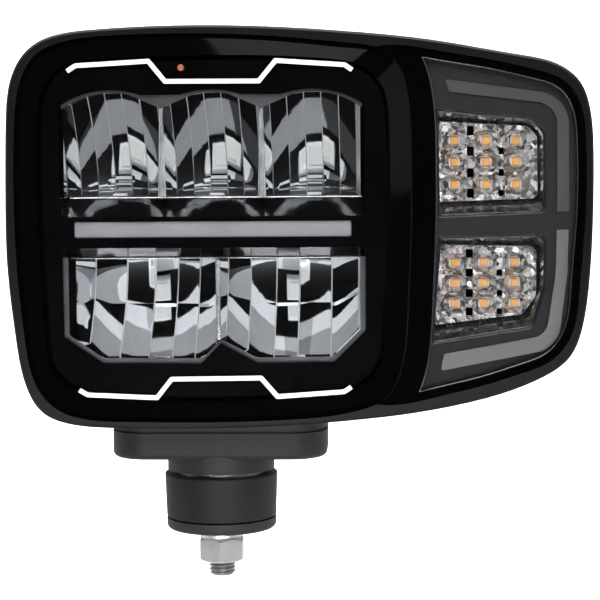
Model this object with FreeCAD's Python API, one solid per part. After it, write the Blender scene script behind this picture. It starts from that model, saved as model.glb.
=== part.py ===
"""LED headlight with a wing of indicators, on a swivelling stud foot.

Millimetres.  X runs across the light, Y runs backwards through it, Z is up.
The origin is on the stud's axis, in the underside of the base cap.
"""

import FreeCAD
import Part
import math
import os

V = FreeCAD.Vector
os.makedirs("parts", exist_ok=True)

# ---- driving dimensions -------------------------------------------------

FRONT = -48.0            # plane of the front frame
WING_START = 84.0        # the front surface bends back from here on
WING_SLOPE = 0.1         # how fast it runs back, mm per mm
FRAME_WALL = 4.0         # front wall of the frame
SKIRT_WALL = 1.3
SKIRT_END = -24.0
SHELL = 3.0              # wall of the rear housing
HOUSING_STEP = -20.0     # where the housing starts to taper
HOUSING_BACK = 10.0
BACK_WALL = 3.5
WING_BACK_SLOPE = 0.26
FIN_COUNT = 14
FIN_PITCH = 9.2
FIN_THICK = 2.4
FIN_DEPTH = 30.0
FIN_PLATE = 2.8          # plate that carries the fins, screwed to the housing's back
FIN_PLATE_X = 68.0
FIN_PLATE_Z = (97.0, 204.0)
FIN_SCREWS = [(-64.8, 110.0), (-64.8, 190.0), (64.8, 110.0), (64.8, 190.0)]

LENS_WALL = 2.5
LENS_EDGE = 2.0          # the lens edge lies this far behind the frame's front
PLATEAU = -51.0          # front of the raised middle of the main lens

BOARD = 1.5
CAVITIES_UPPER = (-41.0, 1.2, 43.4)
UPPER_HALF = 20.3
CAVITIES_LOWER = (-27.2, 34.0)
LOWER_HALF = 29.6
UPPER_FLOOR = 149.4
LOWER_CEILING = 122.7
WINDOW_FRONT = -46.6
SHELF_FRONT = -35.5
REFLECTOR_BACK = -6.0
REFLECTOR_WALL = 1.6
SIDE_FALL = 0.15         # how much shallower a bowl is at its sides
CURL = 1.8               # exponent of a bowl's profile
RIM = 1.1                # rim of the upper reflector that shows in the mask's opening
LOWER_RIM = 2.2
FILLER_TOP = 192.2
BAR = (-57.0, 59.7, 132.5, 139.0)

EMITTER = (6.2, 3.5)     # lamp package, across and deep
EMITTER_Y = -19.7
LED_SIZE = 3.4
UPPER_LED_X = (103.6, 117.2, 130.0)
UPPER_LED_Z = (172.2, 163.0, 153.4)
LOWER_LED_X = (103.6, 116.2, 129.4)
LOWER_LED_Z = (120.0, 111.2, 102.4)

STUD_R = 6.0
STUD_END = -21.7
BALL_Z = 26.0
BALL_R = 13.0
NECK_R = 23.85
NECK_BOTTOM = 26.9
COLLAR_TOP = 25.1
CAP_R = 24.5
CAP_HEIGHT = 5.0
GAP = 0.6                # dark line between the cap and the collar
NUT_FLATS = 19.0
NUT_TOP = -4.4
NUT_BOTTOM = -15.2
FOOT_X = (-47.2, 48.0)
FOOT_HALF_DEPTH = 24.0
FOOT_BOTTOM = 33.6
FOOT_TOP = 44.2
PAD_BOTTOM = 46.7
FOOT_CORNER = 16.0
RUN = 0.06               # running clearance

# ---- outlines, seen from the front (x, z) -------------------------------

FRAME = [(-45, 220), (10, 221), (60, 218), (100, 213.3), (130, 208), (147, 203.7), (156, 196.3),
         (160, 186), (161.7, 167), (161.7, 147), (160, 111), (157.5, 94), (152, 80.5), (139, 71.3),
         (105, 60.8), (60, 54.5), (10, 51.4), (-42, 51.4), (-60, 53), (-72, 58), (-79, 69.5),
         (-83, 90), (-86, 120), (-86.3, 150), (-85.5, 182), (-82, 202.5), (-73.5, 213.5), (-60, 218.5)]

MAIN = [(-45, 216.6), (-3, 217.4), (35, 215.4), (60, 212.8), (72.2, 210.2), (79, 204.3), (83, 193),
        (84.8, 167), (84.8, 140), (83.3, 103), (80.5, 77), (75, 65.5), (62, 59), (35, 55.4),
        (0, 54.2), (-35, 54.4), (-55, 55.8), (-66, 60), (-74, 69.5), (-78.5, 88), (-81.5, 120),
        (-82.3, 150), (-81.5, 180), (-78.5, 199), (-72, 209.3), (-60, 214.6)]

MIDDLE = [(-72, 174), (-72.3, 150), (-71, 115), (-69.5, 88), (-66.5, 76), (-58, 68.2), (-40, 64.3),
          (0, 62.8), (40, 64.5), (62, 68.5), (71.5, 78), (74.3, 95), (76, 125), (76.3, 150),
          (75.8, 180), (73.5, 194), (66, 202.6), (50, 206.7), (2, 208.5), (-45, 207.3),
          (-62, 203.8), (-70, 193)]

WING = [(62, 64), (76, 61.4), (96, 64.8), (115, 69.2), (133, 74.7), (143, 78.8), (151.6, 88.6),
        (155.7, 110), (158, 140), (158, 173), (155.4, 188), (149, 196.6), (138, 201), (118, 205.6),
        (96, 209.3), (78, 211.8), (62, 209), (56, 136)]

TOP_STRIPE = [(-58.5, 202.4), (-55, 204.6), (-24.4, 206.2), (-17.5, 197.8), (21.7, 197.6),
              (28.7, 206), (57.5, 204), (60.5, 201.8)]
BOTTOM_STRIPE = [(-55.5, 68.2), (-52, 66.2), (-22.6, 64.9), (-16.3, 72.8), (21.5, 73.2),
                 (28.4, 65.3), (56.5, 67.3), (59.5, 69.3)]
STRIPE_WIDTH = 1.9


# ---- helpers ------------------------------------------------------------

def box(x0, x1, y0, y1, z0, z1):
    return Part.makeBox(x1 - x0, y1 - y0, z1 - z0, V(x0, y0, z0))


def rod(radius, x, y, z, length, axis):
    return Part.makeCylinder(radius, length, V(x, y, z), axis)


def spline(points, y, periodic=True):
    curve = Part.BSplineCurve()
    curve.interpolate([V(x, y, z) for x, z in points], PeriodicFlag=periodic)
    return curve


def inset(points, distance):
    """Move every point of a closed outline inwards along its normal."""
    curve = spline(points, 0)
    area = sum(a[0] * b[1] - b[0] * a[1] for a, b in zip(points, points[1:] + points[:1]))
    side = 1 if area > 0 else -1
    moved = []
    for x, z in points:
        along = curve.tangent(curve.parameter(V(x, 0, z)))[0]
        moved.append((x - side * distance * along.z, z + side * distance * along.x))
    return moved


def loop_wire(points, y):
    return Part.Wire([spline(points, y).toShape()])


def plate(points, y0, y1):
    """Prism of a smooth closed outline between two planes."""
    return Part.Face(loop_wire(points, y0)).extrude(V(0, y1 - y0, 0))


def taper(points0, y0, points1, y1):
    """Solid that blends from one outline to another."""
    return Part.makeLoft([loop_wire(points0, y0), loop_wire(points1, y1)], True, True)


def poly_prism(points, y0, y1):
    """Prism of a straight-sided outline."""
    corners = [V(x, y0, z) for x, z in points]
    return Part.Face(Part.makePolygon(corners + corners[:1])).extrude(V(0, y1 - y0, 0))


def wing_prism(y0, y1, grow=0.0):
    """Prism of the wing's outline; its left part lies behind the main lens and is cut away."""
    return plate(inset(WING, -grow), y0, y1)


def surface_y(x, offset=0.0):
    return FRONT + offset + WING_SLOPE * max(0.0, x - WING_START)


def ahead(offset):
    """Everything in front of the bent front surface moved back by offset."""
    far = 190.0
    corners = [V(-130, -100, 0), V(far, -100, 0), V(far, surface_y(far, offset), 0),
               V(WING_START, surface_y(WING_START, offset), 0), V(-130, FRONT + offset, 0)]
    return Part.Face(Part.makePolygon(corners + corners[:1])).extrude(V(0, 0, 300))


def layer(solid, offset, thickness):
    """The slice of a prism between two copies of the bent front surface."""
    return solid.cut(ahead(offset)).common(ahead(offset + thickness))


def behind(offset):
    """Everything behind the housing's back, moved back by offset."""
    far = 190.0
    bend = 88.0
    slope_end = HOUSING_BACK - WING_BACK_SLOPE * (far - bend) + offset
    corners = [V(-130, HOUSING_BACK + offset, 0), V(bend, HOUSING_BACK + offset, 0),
               V(far, slope_end, 0), V(far, 120, 0), V(-130, 120, 0)]
    return Part.Face(Part.makePolygon(corners + corners[:1])).extrude(V(0, 0, 300))


def ribbon(path, width, y0, y1):
    """A strip of even width along a bent path."""
    strip = None
    for (xa, za), (xb, zb) in zip(path, path[1:]):
        length = math.hypot(xb - xa, zb - za)
        nx = -(zb - za) / length * width / 2
        nz = (xb - xa) / length * width / 2
        corners = [(xa + nx, za + nz), (xb + nx, zb + nz), (xb - nx, zb - nz), (xa - nx, za - nz)]
        piece = poly_prism(corners, y0, y1)
        strip = piece if strip is None else strip.fuse(piece)
    for x, z in path[1:-1]:
        strip = strip.fuse(rod(width / 2, x, y0, z, y1 - y0, V(0, 1, 0)))
    return strip.removeSplitter()


def hexagon(flats, z0, z1):
    radius = flats / math.sqrt(3)
    corners = [V(radius * math.cos(math.radians(60 * i + 30)),
                 radius * math.sin(math.radians(60 * i + 30)), z0) for i in range(6)]
    return Part.Face(Part.makePolygon(corners + corners[:1])).extrude(V(0, 0, z1 - z0))


def group(shapes):
    return Part.makeCompound(shapes)


def save(name, shape):
    if shape.ShapeType == "Compound" and len(shape.Solids) == 1:
        shape = shape.Solids[0]
    bad = [s for s in shape.Solids if not s.isValid()]
    print(name, "solids", len(shape.Solids), "volume", round(shape.Volume), "bad", len(bad))
    shape.exportStep("parts/" + name + ".step")


# ---- the foot -----------------------------------------------------------

def base_cap():
    disc = rod(CAP_R, 0, 0, 0, CAP_HEIGHT, V(0, 0, 1))
    low = [e for e in disc.Edges if e.Curve.TypeId == "Part::GeomCircle" and e.CenterOfMass.z < 0.1]
    disc = disc.makeFillet(2.2, low)
    groove = rod(13.5, 0, 0, 0, 0.8, V(0, 0, 1)).cut(rod(12.5, 0, 0, 0, 0.8, V(0, 0, 1)))
    return disc.cut(groove).cut(rod(STUD_R, 0, 0, -1, CAP_HEIGHT + 2, V(0, 0, 1)))


def stud_bolt():
    shank = rod(STUD_R, 0, 0, STUD_END + 1, BALL_Z + 3.1 - STUD_END - 1, V(0, 0, 1))
    point = Part.makeCone(STUD_R - 1, STUD_R, 1, V(0, 0, STUD_END), V(0, 0, 1))
    head = rod(9.0, 0, 0, BALL_Z + 3.1, 5.6, V(0, 0, 1))
    key = hexagon(8, BALL_Z + 5.5, BALL_Z + 10)
    return shank.fuse([point, head]).removeSplitter().cut(key)


def friction_washer():
    disc = rod(21.5, 0, 0, CAP_HEIGHT, GAP - 0.02, V(0, 0, 1))
    return disc.cut(rod(STUD_R + RUN, 0, 0, 0, 10, V(0, 0, 1)))


def swivel_collar():
    bottom = CAP_HEIGHT + GAP
    outside = Part.makeCone(CAP_R, 25.2, COLLAR_TOP - bottom, V(0, 0, bottom), V(0, 0, 1))
    rims = [e for e in outside.Edges if e.Curve.TypeId == "Part::GeomCircle"]
    outside = outside.makeFillet(0.6, rims)
    bore = rod(20.0, 0, 0, bottom - 1, 30, V(0, 0, 1))
    return outside.cut(bore)


def ball_post():
    bottom = CAP_HEIGHT + GAP
    flange = rod(20.0, 0, 0, bottom, 3.4, V(0, 0, 1))
    stem = rod(9.5, 0, 0, bottom + 1, BALL_Z - bottom - 1, V(0, 0, 1))
    ball = Part.makeSphere(BALL_R, V(0, 0, BALL_Z))
    post = flange.fuse([stem, ball])
    post = post.cut(rod(9.3, 0, 0, BALL_Z + 3, 20, V(0, 0, 1)))
    return post.cut(rod(STUD_R + RUN, 0, 0, 0, 60, V(0, 0, 1)))


def foot_slab(z0, z1, grow=0.0):
    """Slab with the foot's outline seen from above."""
    slab = box(FOOT_X[0] - grow, FOOT_X[1] + grow, -FOOT_HALF_DEPTH - grow, FOOT_HALF_DEPTH + grow,
               z0, z1)
    upright = [e for e in slab.Edges if abs(e.tangentAt(e.FirstParameter).z) > 0.9]
    return slab.makeFillet(FOOT_CORNER + grow, upright)


FOOT_SCREWS = [(-36, -12), (-36, 12), (37, -12), (37, 12)]


def foot_block():
    slab = foot_slab(FOOT_BOTTOM, FOOT_TOP)
    low = [e for e in slab.Edges if e.BoundBox.ZMax < FOOT_BOTTOM + 0.01]
    slab = slab.makeFillet(2.6, low)
    neck = rod(NECK_R, 0, 0, NECK_BOTTOM, FOOT_BOTTOM + 2 - NECK_BOTTOM, V(0, 0, 1))
    block = slab.fuse(neck).removeSplitter()
    block = block.cut(Part.makeSphere(BALL_R + RUN, V(0, 0, BALL_Z)))
    for x, y in FOOT_SCREWS:
        block = block.cut(rod(3.2, x, y, FOOT_BOTTOM - 1, 20, V(0, 0, 1)))
        block = block.cut(rod(5.6, x, y, FOOT_BOTTOM - 1, 6.5, V(0, 0, 1)))
    for i in range(4):
        angle = math.radians(45 + 90 * i)
        block = block.cut(rod(1.25, 17 * math.cos(angle), 17 * math.sin(angle), 25, 9.5, V(0, 0, 1)))
    return block


def foot_screws():
    screws = []
    for x, y in FOOT_SCREWS:
        shank = rod(3.0, x, y, FOOT_BOTTOM + 5, 13.2, V(0, 0, 1))
        head = rod(5.0, x, y, FOOT_BOTTOM + 0.5, 5.0, V(0, 0, 1))
        key = rod(2.6, x, y, FOOT_BOTTOM, 3.2, V(0, 0, 1))
        screws.append(shank.fuse(head).cut(key))
    return group(screws)


def drilled_slab(z0, z1, grow):
    slab = foot_slab(z0, z1, grow)
    for x, y in FOOT_SCREWS:
        slab = slab.cut(rod(3.2, x, y, z0 - 1, 10, V(0, 0, 1)))
    return slab


def foot_plate():
    return drilled_slab(FOOT_TOP + 0.02, FOOT_TOP + 1.3, 0.0)


def foot_gasket():
    return drilled_slab(FOOT_TOP + 1.32, PAD_BOTTOM - 0.02, -1.2)


def socket_ring():
    ring = rod(20.0, 0, 0, 19.0, NECK_BOTTOM - 19.02, V(0, 0, 1))
    top = Part.makeCone(16.6, 20.0, 3.4, V(0, 0, 19.0), V(0, 0, 1))
    ring = ring.common(top.fuse(rod(20.0, 0, 0, 22.4, 10, V(0, 0, 1))))
    ring = ring.common(rod(19.2, 0, 0, 0, 60, V(0, 0, 1)))
    ring = ring.cut(Part.makeSphere(BALL_R + RUN, V(0, 0, BALL_Z)))
    ring = ring.cut(rod(11.2, 0, 0, 10, 20, V(0, 0, 1)))
    for i in range(4):
        angle = math.radians(45 + 90 * i)
        ring = ring.cut(rod(1.4, 17 * math.cos(angle), 17 * math.sin(angle), 15, 20, V(0, 0, 1)))
    return ring


def socket_ring_screws():
    screws = []
    for i in range(4):
        angle = math.radians(45 + 90 * i)
        x, y = 17 * math.cos(angle), 17 * math.sin(angle)
        screws.append(rod(1.2, x, y, 22.5, 11.5, V(0, 0, 1)))
    return group(screws)


def spring_washer():
    """One turn of square wire with its ends apart."""
    turn = 0.94
    rise = 1.7
    helix = Part.makeHelix(rise / turn, rise, 8.1)
    wire = Part.Wire(helix.Edges)
    x0, x1 = 6.25, 10.0
    thick = 2.5
    profile = Part.makePolygon([V(x0, 0, -thick / 2), V(x1, 0, -thick / 2), V(x1, 0, thick / 2),
                                V(x0, 0, thick / 2), V(x0, 0, -thick / 2)])
    body = wire.makePipeShell([profile], True, True)
    body.translate(V(0, 0, -rise - thick / 2 - 0.1))
    body.rotate(V(0, 0, 0), V(0, 0, 1), 200)
    return body


def hex_nut():
    nut = hexagon(NUT_FLATS, NUT_BOTTOM, NUT_TOP)
    corner = NUT_FLATS / math.sqrt(3)
    rise = 1.5
    upper = Part.makeCone(corner + 0.6, corner - 2.2, rise * 1.15, V(0, 0, NUT_TOP - rise * 1.15), V(0, 0, 1))
    lower = Part.makeCone(corner - 2.2, corner + 0.6, rise * 1.15, V(0, 0, NUT_BOTTOM), V(0, 0, 1))
    waist = rod(corner + 0.6, 0, 0, NUT_BOTTOM + rise * 1.15, NUT_TOP - NUT_BOTTOM - 2.3 * rise, V(0, 0, 1))
    nut = nut.common(upper.fuse([lower, waist]))
    return nut.cut(rod(STUD_R + RUN, 0, 0, NUT_BOTTOM - 1, 20, V(0, 0, 1)))


# ---- shell of the head --------------------------------------------------

def lens_opening(y0, y1, grow):
    return plate(inset(MAIN, -grow), y0, y1).fuse(wing_prism(y0, y1, grow))


def is_bend(edge):
    """True for the upright line where the front surface starts to run back."""
    return edge.BoundBox.XLength < 1 and edge.BoundBox.ZLength > 100


def front_frame():
    body = plate(FRAME, -60, SKIRT_END).cut(ahead(0))
    rim = [e for e in body.Edges if e.BoundBox.YMax < -38 and not is_bend(e)]
    body = body.makeChamfer(1.0, rim)
    pocket = plate(inset(FRAME, SKIRT_WALL), -60, 0).cut(ahead(FRAME_WALL))
    return body.cut(pocket).cut(lens_opening(-70, -20, 0.3))


def housing_outside():
    rim = plate(inset(FRAME, SKIRT_WALL + 0.2), -60, HOUSING_STEP).cut(ahead(5.9))
    back = taper(inset(FRAME, SKIRT_WALL + 0.2), HOUSING_STEP, inset(FRAME, 9), HOUSING_BACK + 0.5)
    shell = rim.fuse(back.cut(behind(0)))
    pad = foot_slab(PAD_BOTTOM, 66)
    return shell.fuse(pad)


def housing_inside():
    front = plate(inset(FRAME, SKIRT_WALL + 0.2 + SHELL), -60, HOUSING_STEP).cut(ahead(9))
    back = taper(inset(FRAME, SKIRT_WALL + 0.2 + SHELL), HOUSING_STEP, inset(FRAME, 12), HOUSING_BACK)
    return front.fuse(back).cut(behind(-BACK_WALL))


def fin(x):
    low, high = FIN_PLATE_Z[0] + 1, FIN_PLATE_Z[1] - 1
    root = HOUSING_BACK + 1
    crown = HOUSING_BACK + FIN_DEPTH
    corners = [V(x, root, low), V(x, crown - 5, low + 6), V(x, crown, low + 15),
               V(x, crown, high - 21), V(x, crown - 7, high - 6), V(x, root, high)]
    return Part.Face(Part.makePolygon(corners + corners[:1])).extrude(V(FIN_THICK, 0, 0))


def cooling_fins():
    back = HOUSING_BACK + 0.05
    body = box(-FIN_PLATE_X, FIN_PLATE_X, back, back + FIN_PLATE, *FIN_PLATE_Z)
    body = body.makeFillet(8, [e for e in body.Edges if abs(e.tangentAt(e.FirstParameter).y) > 0.9])
    for i in range(FIN_COUNT):
        body = body.fuse(fin((i - (FIN_COUNT - 1) / 2) * FIN_PITCH - FIN_THICK / 2))
    for x, z in FIN_SCREWS:
        body = body.cut(rod(1.7, x, 0, z, 30, V(0, 1, 0)))
    return body


def cooling_fin_screws():
    screws = []
    for x, z in FIN_SCREWS:
        shank = rod(1.5, x, HOUSING_BACK - 2.8, z, 8, V(0, 1, 0))
        head = rod(2.8, x, HOUSING_BACK + 0.1 + FIN_PLATE, z, 2.2, V(0, 1, 0))
        key = rod(1.3, x, HOUSING_BACK + FIN_PLATE + 1.2, z, 6, V(0, 1, 0))
        screws.append(shank.fuse(head).cut(key))
    return group(screws)


CONNECTOR = (34.0, 80.0)
VENT = (-34.0, 80.0)
MASK_POSTS = [(-62, 78.5), (-62.5, 195.2), (65.5, 195), (64.5, 79)]


def rear_housing():
    body = housing_outside().cut(housing_inside())
    body = body.cut(layer(plate(inset(MAIN, 5), -60, 0), 5, 5))
    body = body.cut(layer(wing_prism(-60, 0, -3.3).cut(plate(inset(MAIN, -5.2), -60, 0)), 5, 5))
    for x, z in MASK_POSTS:
        body = body.fuse(rod(3.6, x, -20, z, 28, V(0, 1, 0)))
        body = body.cut(rod(1.2, x, -21, z, 12, V(0, 1, 0)))
    for x, y in FOOT_SCREWS:
        body = body.cut(rod(3.05, x, y, PAD_BOTTOM - 1, 7, V(0, 0, 1)))
    for x, z in FIN_SCREWS:
        body = body.cut(rod(1.55, x, HOUSING_BACK - 3.0, z, 5, V(0, 1, 0)))
    body = body.cut(rod(7.1, CONNECTOR[0], 0, CONNECTOR[1], 30, V(0, 1, 0)))
    for dx in (-12.5, 12.5):
        body = body.cut(rod(1.3, CONNECTOR[0] + dx, 7.5, CONNECTOR[1], 9, V(0, 1, 0)))
    body = body.cut(rod(4.1, VENT[0], 0, VENT[1], 30, V(0, 1, 0)))
    return body


def vent_plug():
    stem = rod(4.0, VENT[0], 4, VENT[1], 6.1, V(0, 1, 0))
    cap = rod(8.0, VENT[0], HOUSING_BACK + 0.05, VENT[1], 5, V(0, 1, 0))
    cap = cap.makeFillet(1.5, [e for e in cap.Edges if e.CenterOfMass.y > HOUSING_BACK + 5])
    plug = cap.fuse(stem)
    for i in range(6):
        angle = math.radians(60 * i)
        slot = box(5.5, 9, -0.9, 0.9, -1, 1)
        slot.rotate(V(0, 0, 0), V(0, 0, 1), math.degrees(angle))
        slot.rotate(V(0, 0, 0), V(1, 0, 0), -90)
        slot.translate(V(VENT[0], HOUSING_BACK + 2.4, VENT[1]))
        plug = plug.cut(slot)
    return plug.cut(rod(1.5, VENT[0], 3, VENT[1], 9, V(0, 1, 0)))


PIN_GRID = [(dx, dz) for dx in (-5, 0, 5) for dz in (-2.5, 2.5)]


def connector_socket():
    x, z = CONNECTOR
    back = HOUSING_BACK + 0.05
    flange = box(x - 17, x + 17, back, back + 3, z - 10.5, z + 10.5)
    flange = flange.makeFillet(3, [e for e in flange.Edges if abs(e.tangentAt(e.FirstParameter).y) > 0.9])
    shroud = box(x - 11, x + 11, back, back + 22, z - 8, z + 8)
    shroud = shroud.makeFillet(2.5, [e for e in shroud.Edges if abs(e.tangentAt(e.FirstParameter).y) > 0.9])
    cavity = box(x - 9.4, x + 9.4, back + 4, back + 23, z - 6.4, z + 6.4)
    spigot = rod(7.0, x, 3.0, z, 8, V(0, 1, 0))
    rib = box(x - 2, x + 2, back + 3, back + 19, z + 7.5, z + 9.6)
    body = flange.fuse([shroud, spigot, rib]).cut(cavity)
    for dx, dz in PIN_GRID:
        body = body.cut(rod(0.77, x + dx, 0, z + dz, 20, V(0, 1, 0)))
    for dx in (-12.5, 12.5):
        body = body.cut(rod(1.6, x + dx, 5, z, 10, V(0, 1, 0)))
        body = body.cut(rod(2.8, x + dx, back + 1.8, z, 10, V(0, 1, 0)))
    return body


def connector_pins():
    x, z = CONNECTOR
    return group([rod(0.75, x + dx, -1, z + dz, 22, V(0, 1, 0)) for dx, dz in PIN_GRID])


def connector_screws():
    x, z = CONNECTOR
    screws = []
    for dx in (-12.5, 12.5):
        shank = rod(1.25, x + dx, 8, z, 5, V(0, 1, 0))
        head = rod(2.6, x + dx, HOUSING_BACK + 1.9, z, 1.8, V(0, 1, 0))
        slot = rod(1.1, x + dx, HOUSING_BACK + 2.7, z, 2, V(0, 1, 0))
        screws.append(shank.fuse(head).cut(slot))
    return group(screws)


# ---- lenses -------------------------------------------------------------

def main_shell():
    edge = FRONT + LENS_EDGE
    rim = plate(MAIN, edge, edge + LENS_WALL)
    rise = taper(MAIN, edge, MIDDLE, PLATEAU)
    hollow = taper(inset(MAIN, 3.4), edge + LENS_WALL, inset(MIDDLE, 0.6), PLATEAU + LENS_WALL)
    slit = plate(inset(MAIN, 3.4), edge + LENS_WALL - 0.01, edge + LENS_WALL + 1)
    return rim.fuse(rise).cut(hollow).cut(slit)


STATUS = (-10.9, 203.4)


def stripe(path):
    return ribbon(path, STRIPE_WIDTH, PLATEAU - 0.3, PLATEAU + 0.5)


def main_lens():
    lens = main_shell().common(plate(MIDDLE, -60, -40))
    for path in (TOP_STRIPE, BOTTOM_STRIPE):
        lens = lens.cut(ribbon(path, STRIPE_WIDTH + 0.06, PLATEAU - 1, PLATEAU + 0.52))
    return lens.cut(rod(1.4, STATUS[0], -60, STATUS[1], 20, V(0, 1, 0)))


def main_lens_border():
    border = main_shell().cut(plate(MIDDLE, -60, -40))
    for path in (TOP_STRIPE, BOTTOM_STRIPE):
        border = border.cut(ribbon(path, STRIPE_WIDTH + 0.06, PLATEAU - 1, PLATEAU + 0.52))
    return border


def main_lens_seal():
    y = FRONT + LENS_EDGE + LENS_WALL + 0.02
    return plate(inset(MAIN, 0.6), y, y + 1.36).cut(plate(inset(MAIN, 3.2), y - 1, y + 3))


def wing_cover():
    return wing_prism(-60, 0, -0.1).cut(plate(inset(MAIN, -0.55), -70, 0))


def wing_clear_area():
    return wing_prism(-60, 0, -3.4).cut(plate(inset(MAIN, -10.6), -70, 0))


def wing_lens():
    return layer(wing_clear_area(), LENS_EDGE, LENS_WALL)


def wing_lens_border():
    return layer(wing_cover().cut(wing_clear_area()), LENS_EDGE, LENS_WALL)


def wing_lens_seal():
    ring = wing_prism(-60, 0, -0.8).cut(plate(inset(MAIN, -1.2), -70, 0))
    ring = ring.cut(wing_prism(-60, 0, -3.2).cut(plate(inset(MAIN, -4), -70, 0)))
    return layer(ring, LENS_EDGE + LENS_WALL + 0.02, 1.36)


def status_lens():
    x, z = STATUS
    pipe = rod(1.35, x, PLATEAU - 0.4, z, 9, V(0, 1, 0))
    return pipe.makeFillet(0.35, [e for e in pipe.Edges if e.CenterOfMass.y < PLATEAU])


# ---- windows and reflectors ---------------------------------------------

def arch_window(y0, y1, grow=0.0):
    """Upper window: flat floor, three shallow arches."""
    window = None
    for centre in CAVITIES_UPPER:
        half = UPPER_HALF + 0.85
        low = 141.3 - grow
        x0, x1 = centre - half - grow, centre + half + grow
        corners = [V(x0, y0, low), V(x0, y0, 186.4 + grow), V(centre, y0, 193.2 + grow),
                   V(x1, y0, 186.4 + grow), V(x1, y0, low)]
        arc = Part.Arc(corners[1], corners[2], corners[3]).toShape()
        edges = [Part.makeLine(corners[0], corners[1]), arc, Part.makeLine(corners[3], corners[4]),
                 Part.makeLine(corners[4], corners[0])]
        piece = Part.Face(Part.Wire(edges)).extrude(V(0, y1 - y0, 0))
        window = piece if window is None else window.fuse(piece)
    return window.removeSplitter()


def cusps():
    return [(a + b) / 2 for a, b in zip(CAVITIES_UPPER, CAVITIES_UPPER[1:])]


def rim_window(y0, y1, grow=0.0):
    """Opening of the mask over the arches: it shows a narrow rim and a filler above each cusp."""
    opening = arch_window(y0, y1, RIM + grow).common(box(-90, 90, y0, y1, UPPER_FLOOR, 260))
    for x in cusps():
        top, low = FILLER_TOP + grow, FILLER_TOP - 8
        filler = [(x - 12.5 - grow, top), (x + 12.5 + grow, top), (x + 7, low), (x - 7, low)]
        opening = opening.fuse(poly_prism(filler, y0, y1))
    return opening.removeSplitter()


def bay_window(y0, y1, grow=0.0):
    """Lower window: flat top, two bays with cut corners."""
    g = grow
    corners = [(-62.3 - g, 128.1 + g), (65.7 + g, 128.1 + g), (65.6 + g, 93 - g), (52.3 + g, 79.6 - g),
               (20 - g / 2, 79.2 - g), (4.4, 87.6 - g), (-4.1 + g / 2, 79 - g), (-45.5 - g, 79.2 - g),
               (-62 - g, 90.4 - g)]
    return poly_prism(corners, y0, y1)


def facet_section(centre, half, depth, z, count):
    """One level of a cavity: steep side walls and equal columns round the back."""
    points = [V(centre - half, WINDOW_FRONT - 0.6, z)]
    for i in range(count + 1):
        across = -0.9 + 1.8 * i / count
        points.append(V(centre + half * across, WINDOW_FRONT - 0.6 + depth * (1 - SIDE_FALL * across ** 2), z))
    points.append(V(centre + half, WINDOW_FRONT - 0.6, z))
    return Part.makePolygon(points + points[:1])


def cavity(centre, half, depth, z_led, z_far, count):
    """Bowl that is deepest at the light source and curves forward towards the rim."""
    sections = []
    for t in (0.0, 0.25, 0.5, 0.7, 0.87, 1.0):
        reach = depth * (1 - 0.9 * t ** CURL)
        sections.append(facet_section(centre, half, reach, z_led + (z_far - z_led) * t, count))
    return Part.makeLoft(sections, True, True)


def reflector(centres, half, z_led, z_far, mouth, flange, count):
    depth = REFLECTOR_BACK - WINDOW_FRONT
    outward = 1 if z_far > z_led else -1
    outer, inner = [], []
    for centre in centres:
        outer.append(cavity(centre, half + REFLECTOR_WALL, depth + REFLECTOR_WALL,
                            z_led, z_far + outward * 4, count))
        inner.append(cavity(centre, half, depth, z_led - outward, z_far + outward * 3, count))
    low = UPPER_FLOOR if outward > 0 else 0
    high = 260 if outward > 0 else LOWER_CEILING
    front = WINDOW_FRONT + 0.2
    body = outer[0].fuse(outer[1:])
    body = body.common(box(-90, 90, front, 60, low, high)).common(mouth(-60, 60, REFLECTOR_WALL))
    body = body.fuse(flange(front, front + 1.5).common(box(-90, 90, front, 60, low, high)))
    opening = mouth(-60, 60, 0.0)
    for hollow in inner:
        body = body.cut(hollow.common(opening))
    return body


def upper_reflector():
    return reflector(CAVITIES_UPPER, UPPER_HALF, UPPER_FLOOR, 192.0, arch_window,
                     lambda y0, y1: rim_window(y0, y1, 2.0), 5)


def lower_reflector():
    return reflector(CAVITIES_LOWER, LOWER_HALF, LOWER_CEILING, 81.0,
                     lambda y0, y1, grow: bay_window(y0, y1, grow - LOWER_RIM),
                     lambda y0, y1: bay_window(y0, y1, 3.0), 6)


def board(x0, x1, z):
    return box(x0, x1, SHELF_FRONT, 1.0, z, z + BOARD)


def upper_led_board():
    return board(-60, 63, UPPER_FLOOR - BOARD - 0.05)


def lower_led_board():
    return board(-60, 63, LOWER_CEILING + 0.05)


def emitters(centres, z):
    """One multi-chip package at the focus of every bowl."""
    half = EMITTER[0] / 2
    front = EMITTER_Y - EMITTER[1] / 2
    return group([box(centre - half, centre + half, front, front + EMITTER[1], z, z + 1.0)
                  for centre in centres])


def upper_leds():
    return emitters(CAVITIES_UPPER, UPPER_FLOOR - 0.05)


def lower_leds():
    return emitters(CAVITIES_LOWER, LOWER_CEILING - 0.95)


def led_heat_sink():
    low = LOWER_CEILING + BOARD + 0.1
    high = UPPER_FLOOR - BOARD - 0.1
    wall = 3.0
    top = box(-60, 63, SHELF_FRONT + 0.5, HOUSING_BACK - BACK_WALL, high - wall, high)
    bottom = box(-60, 63, SHELF_FRONT + 0.5, HOUSING_BACK - BACK_WALL, low, low + wall)
    back = box(-60, 63, HOUSING_BACK - BACK_WALL - 4, HOUSING_BACK - BACK_WALL, low, high)
    body = top.fuse([bottom, back])
    for x in (-40, -20, 0, 20, 40):
        body = body.fuse(box(x - 1.2, x + 1.2, SHELF_FRONT + 12, HOUSING_BACK - BACK_WALL - 3, low, high))
    return body.removeSplitter()


def light_bar():
    x0, x1, z0, z1 = BAR
    bar = box(x0, x1, WINDOW_FRONT - 0.4, WINDOW_FRONT + 2.2, z0, z1)
    return bar.makeFillet(1.0, [e for e in bar.Edges if abs(e.tangentAt(e.FirstParameter).y) > 0.9])


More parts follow.
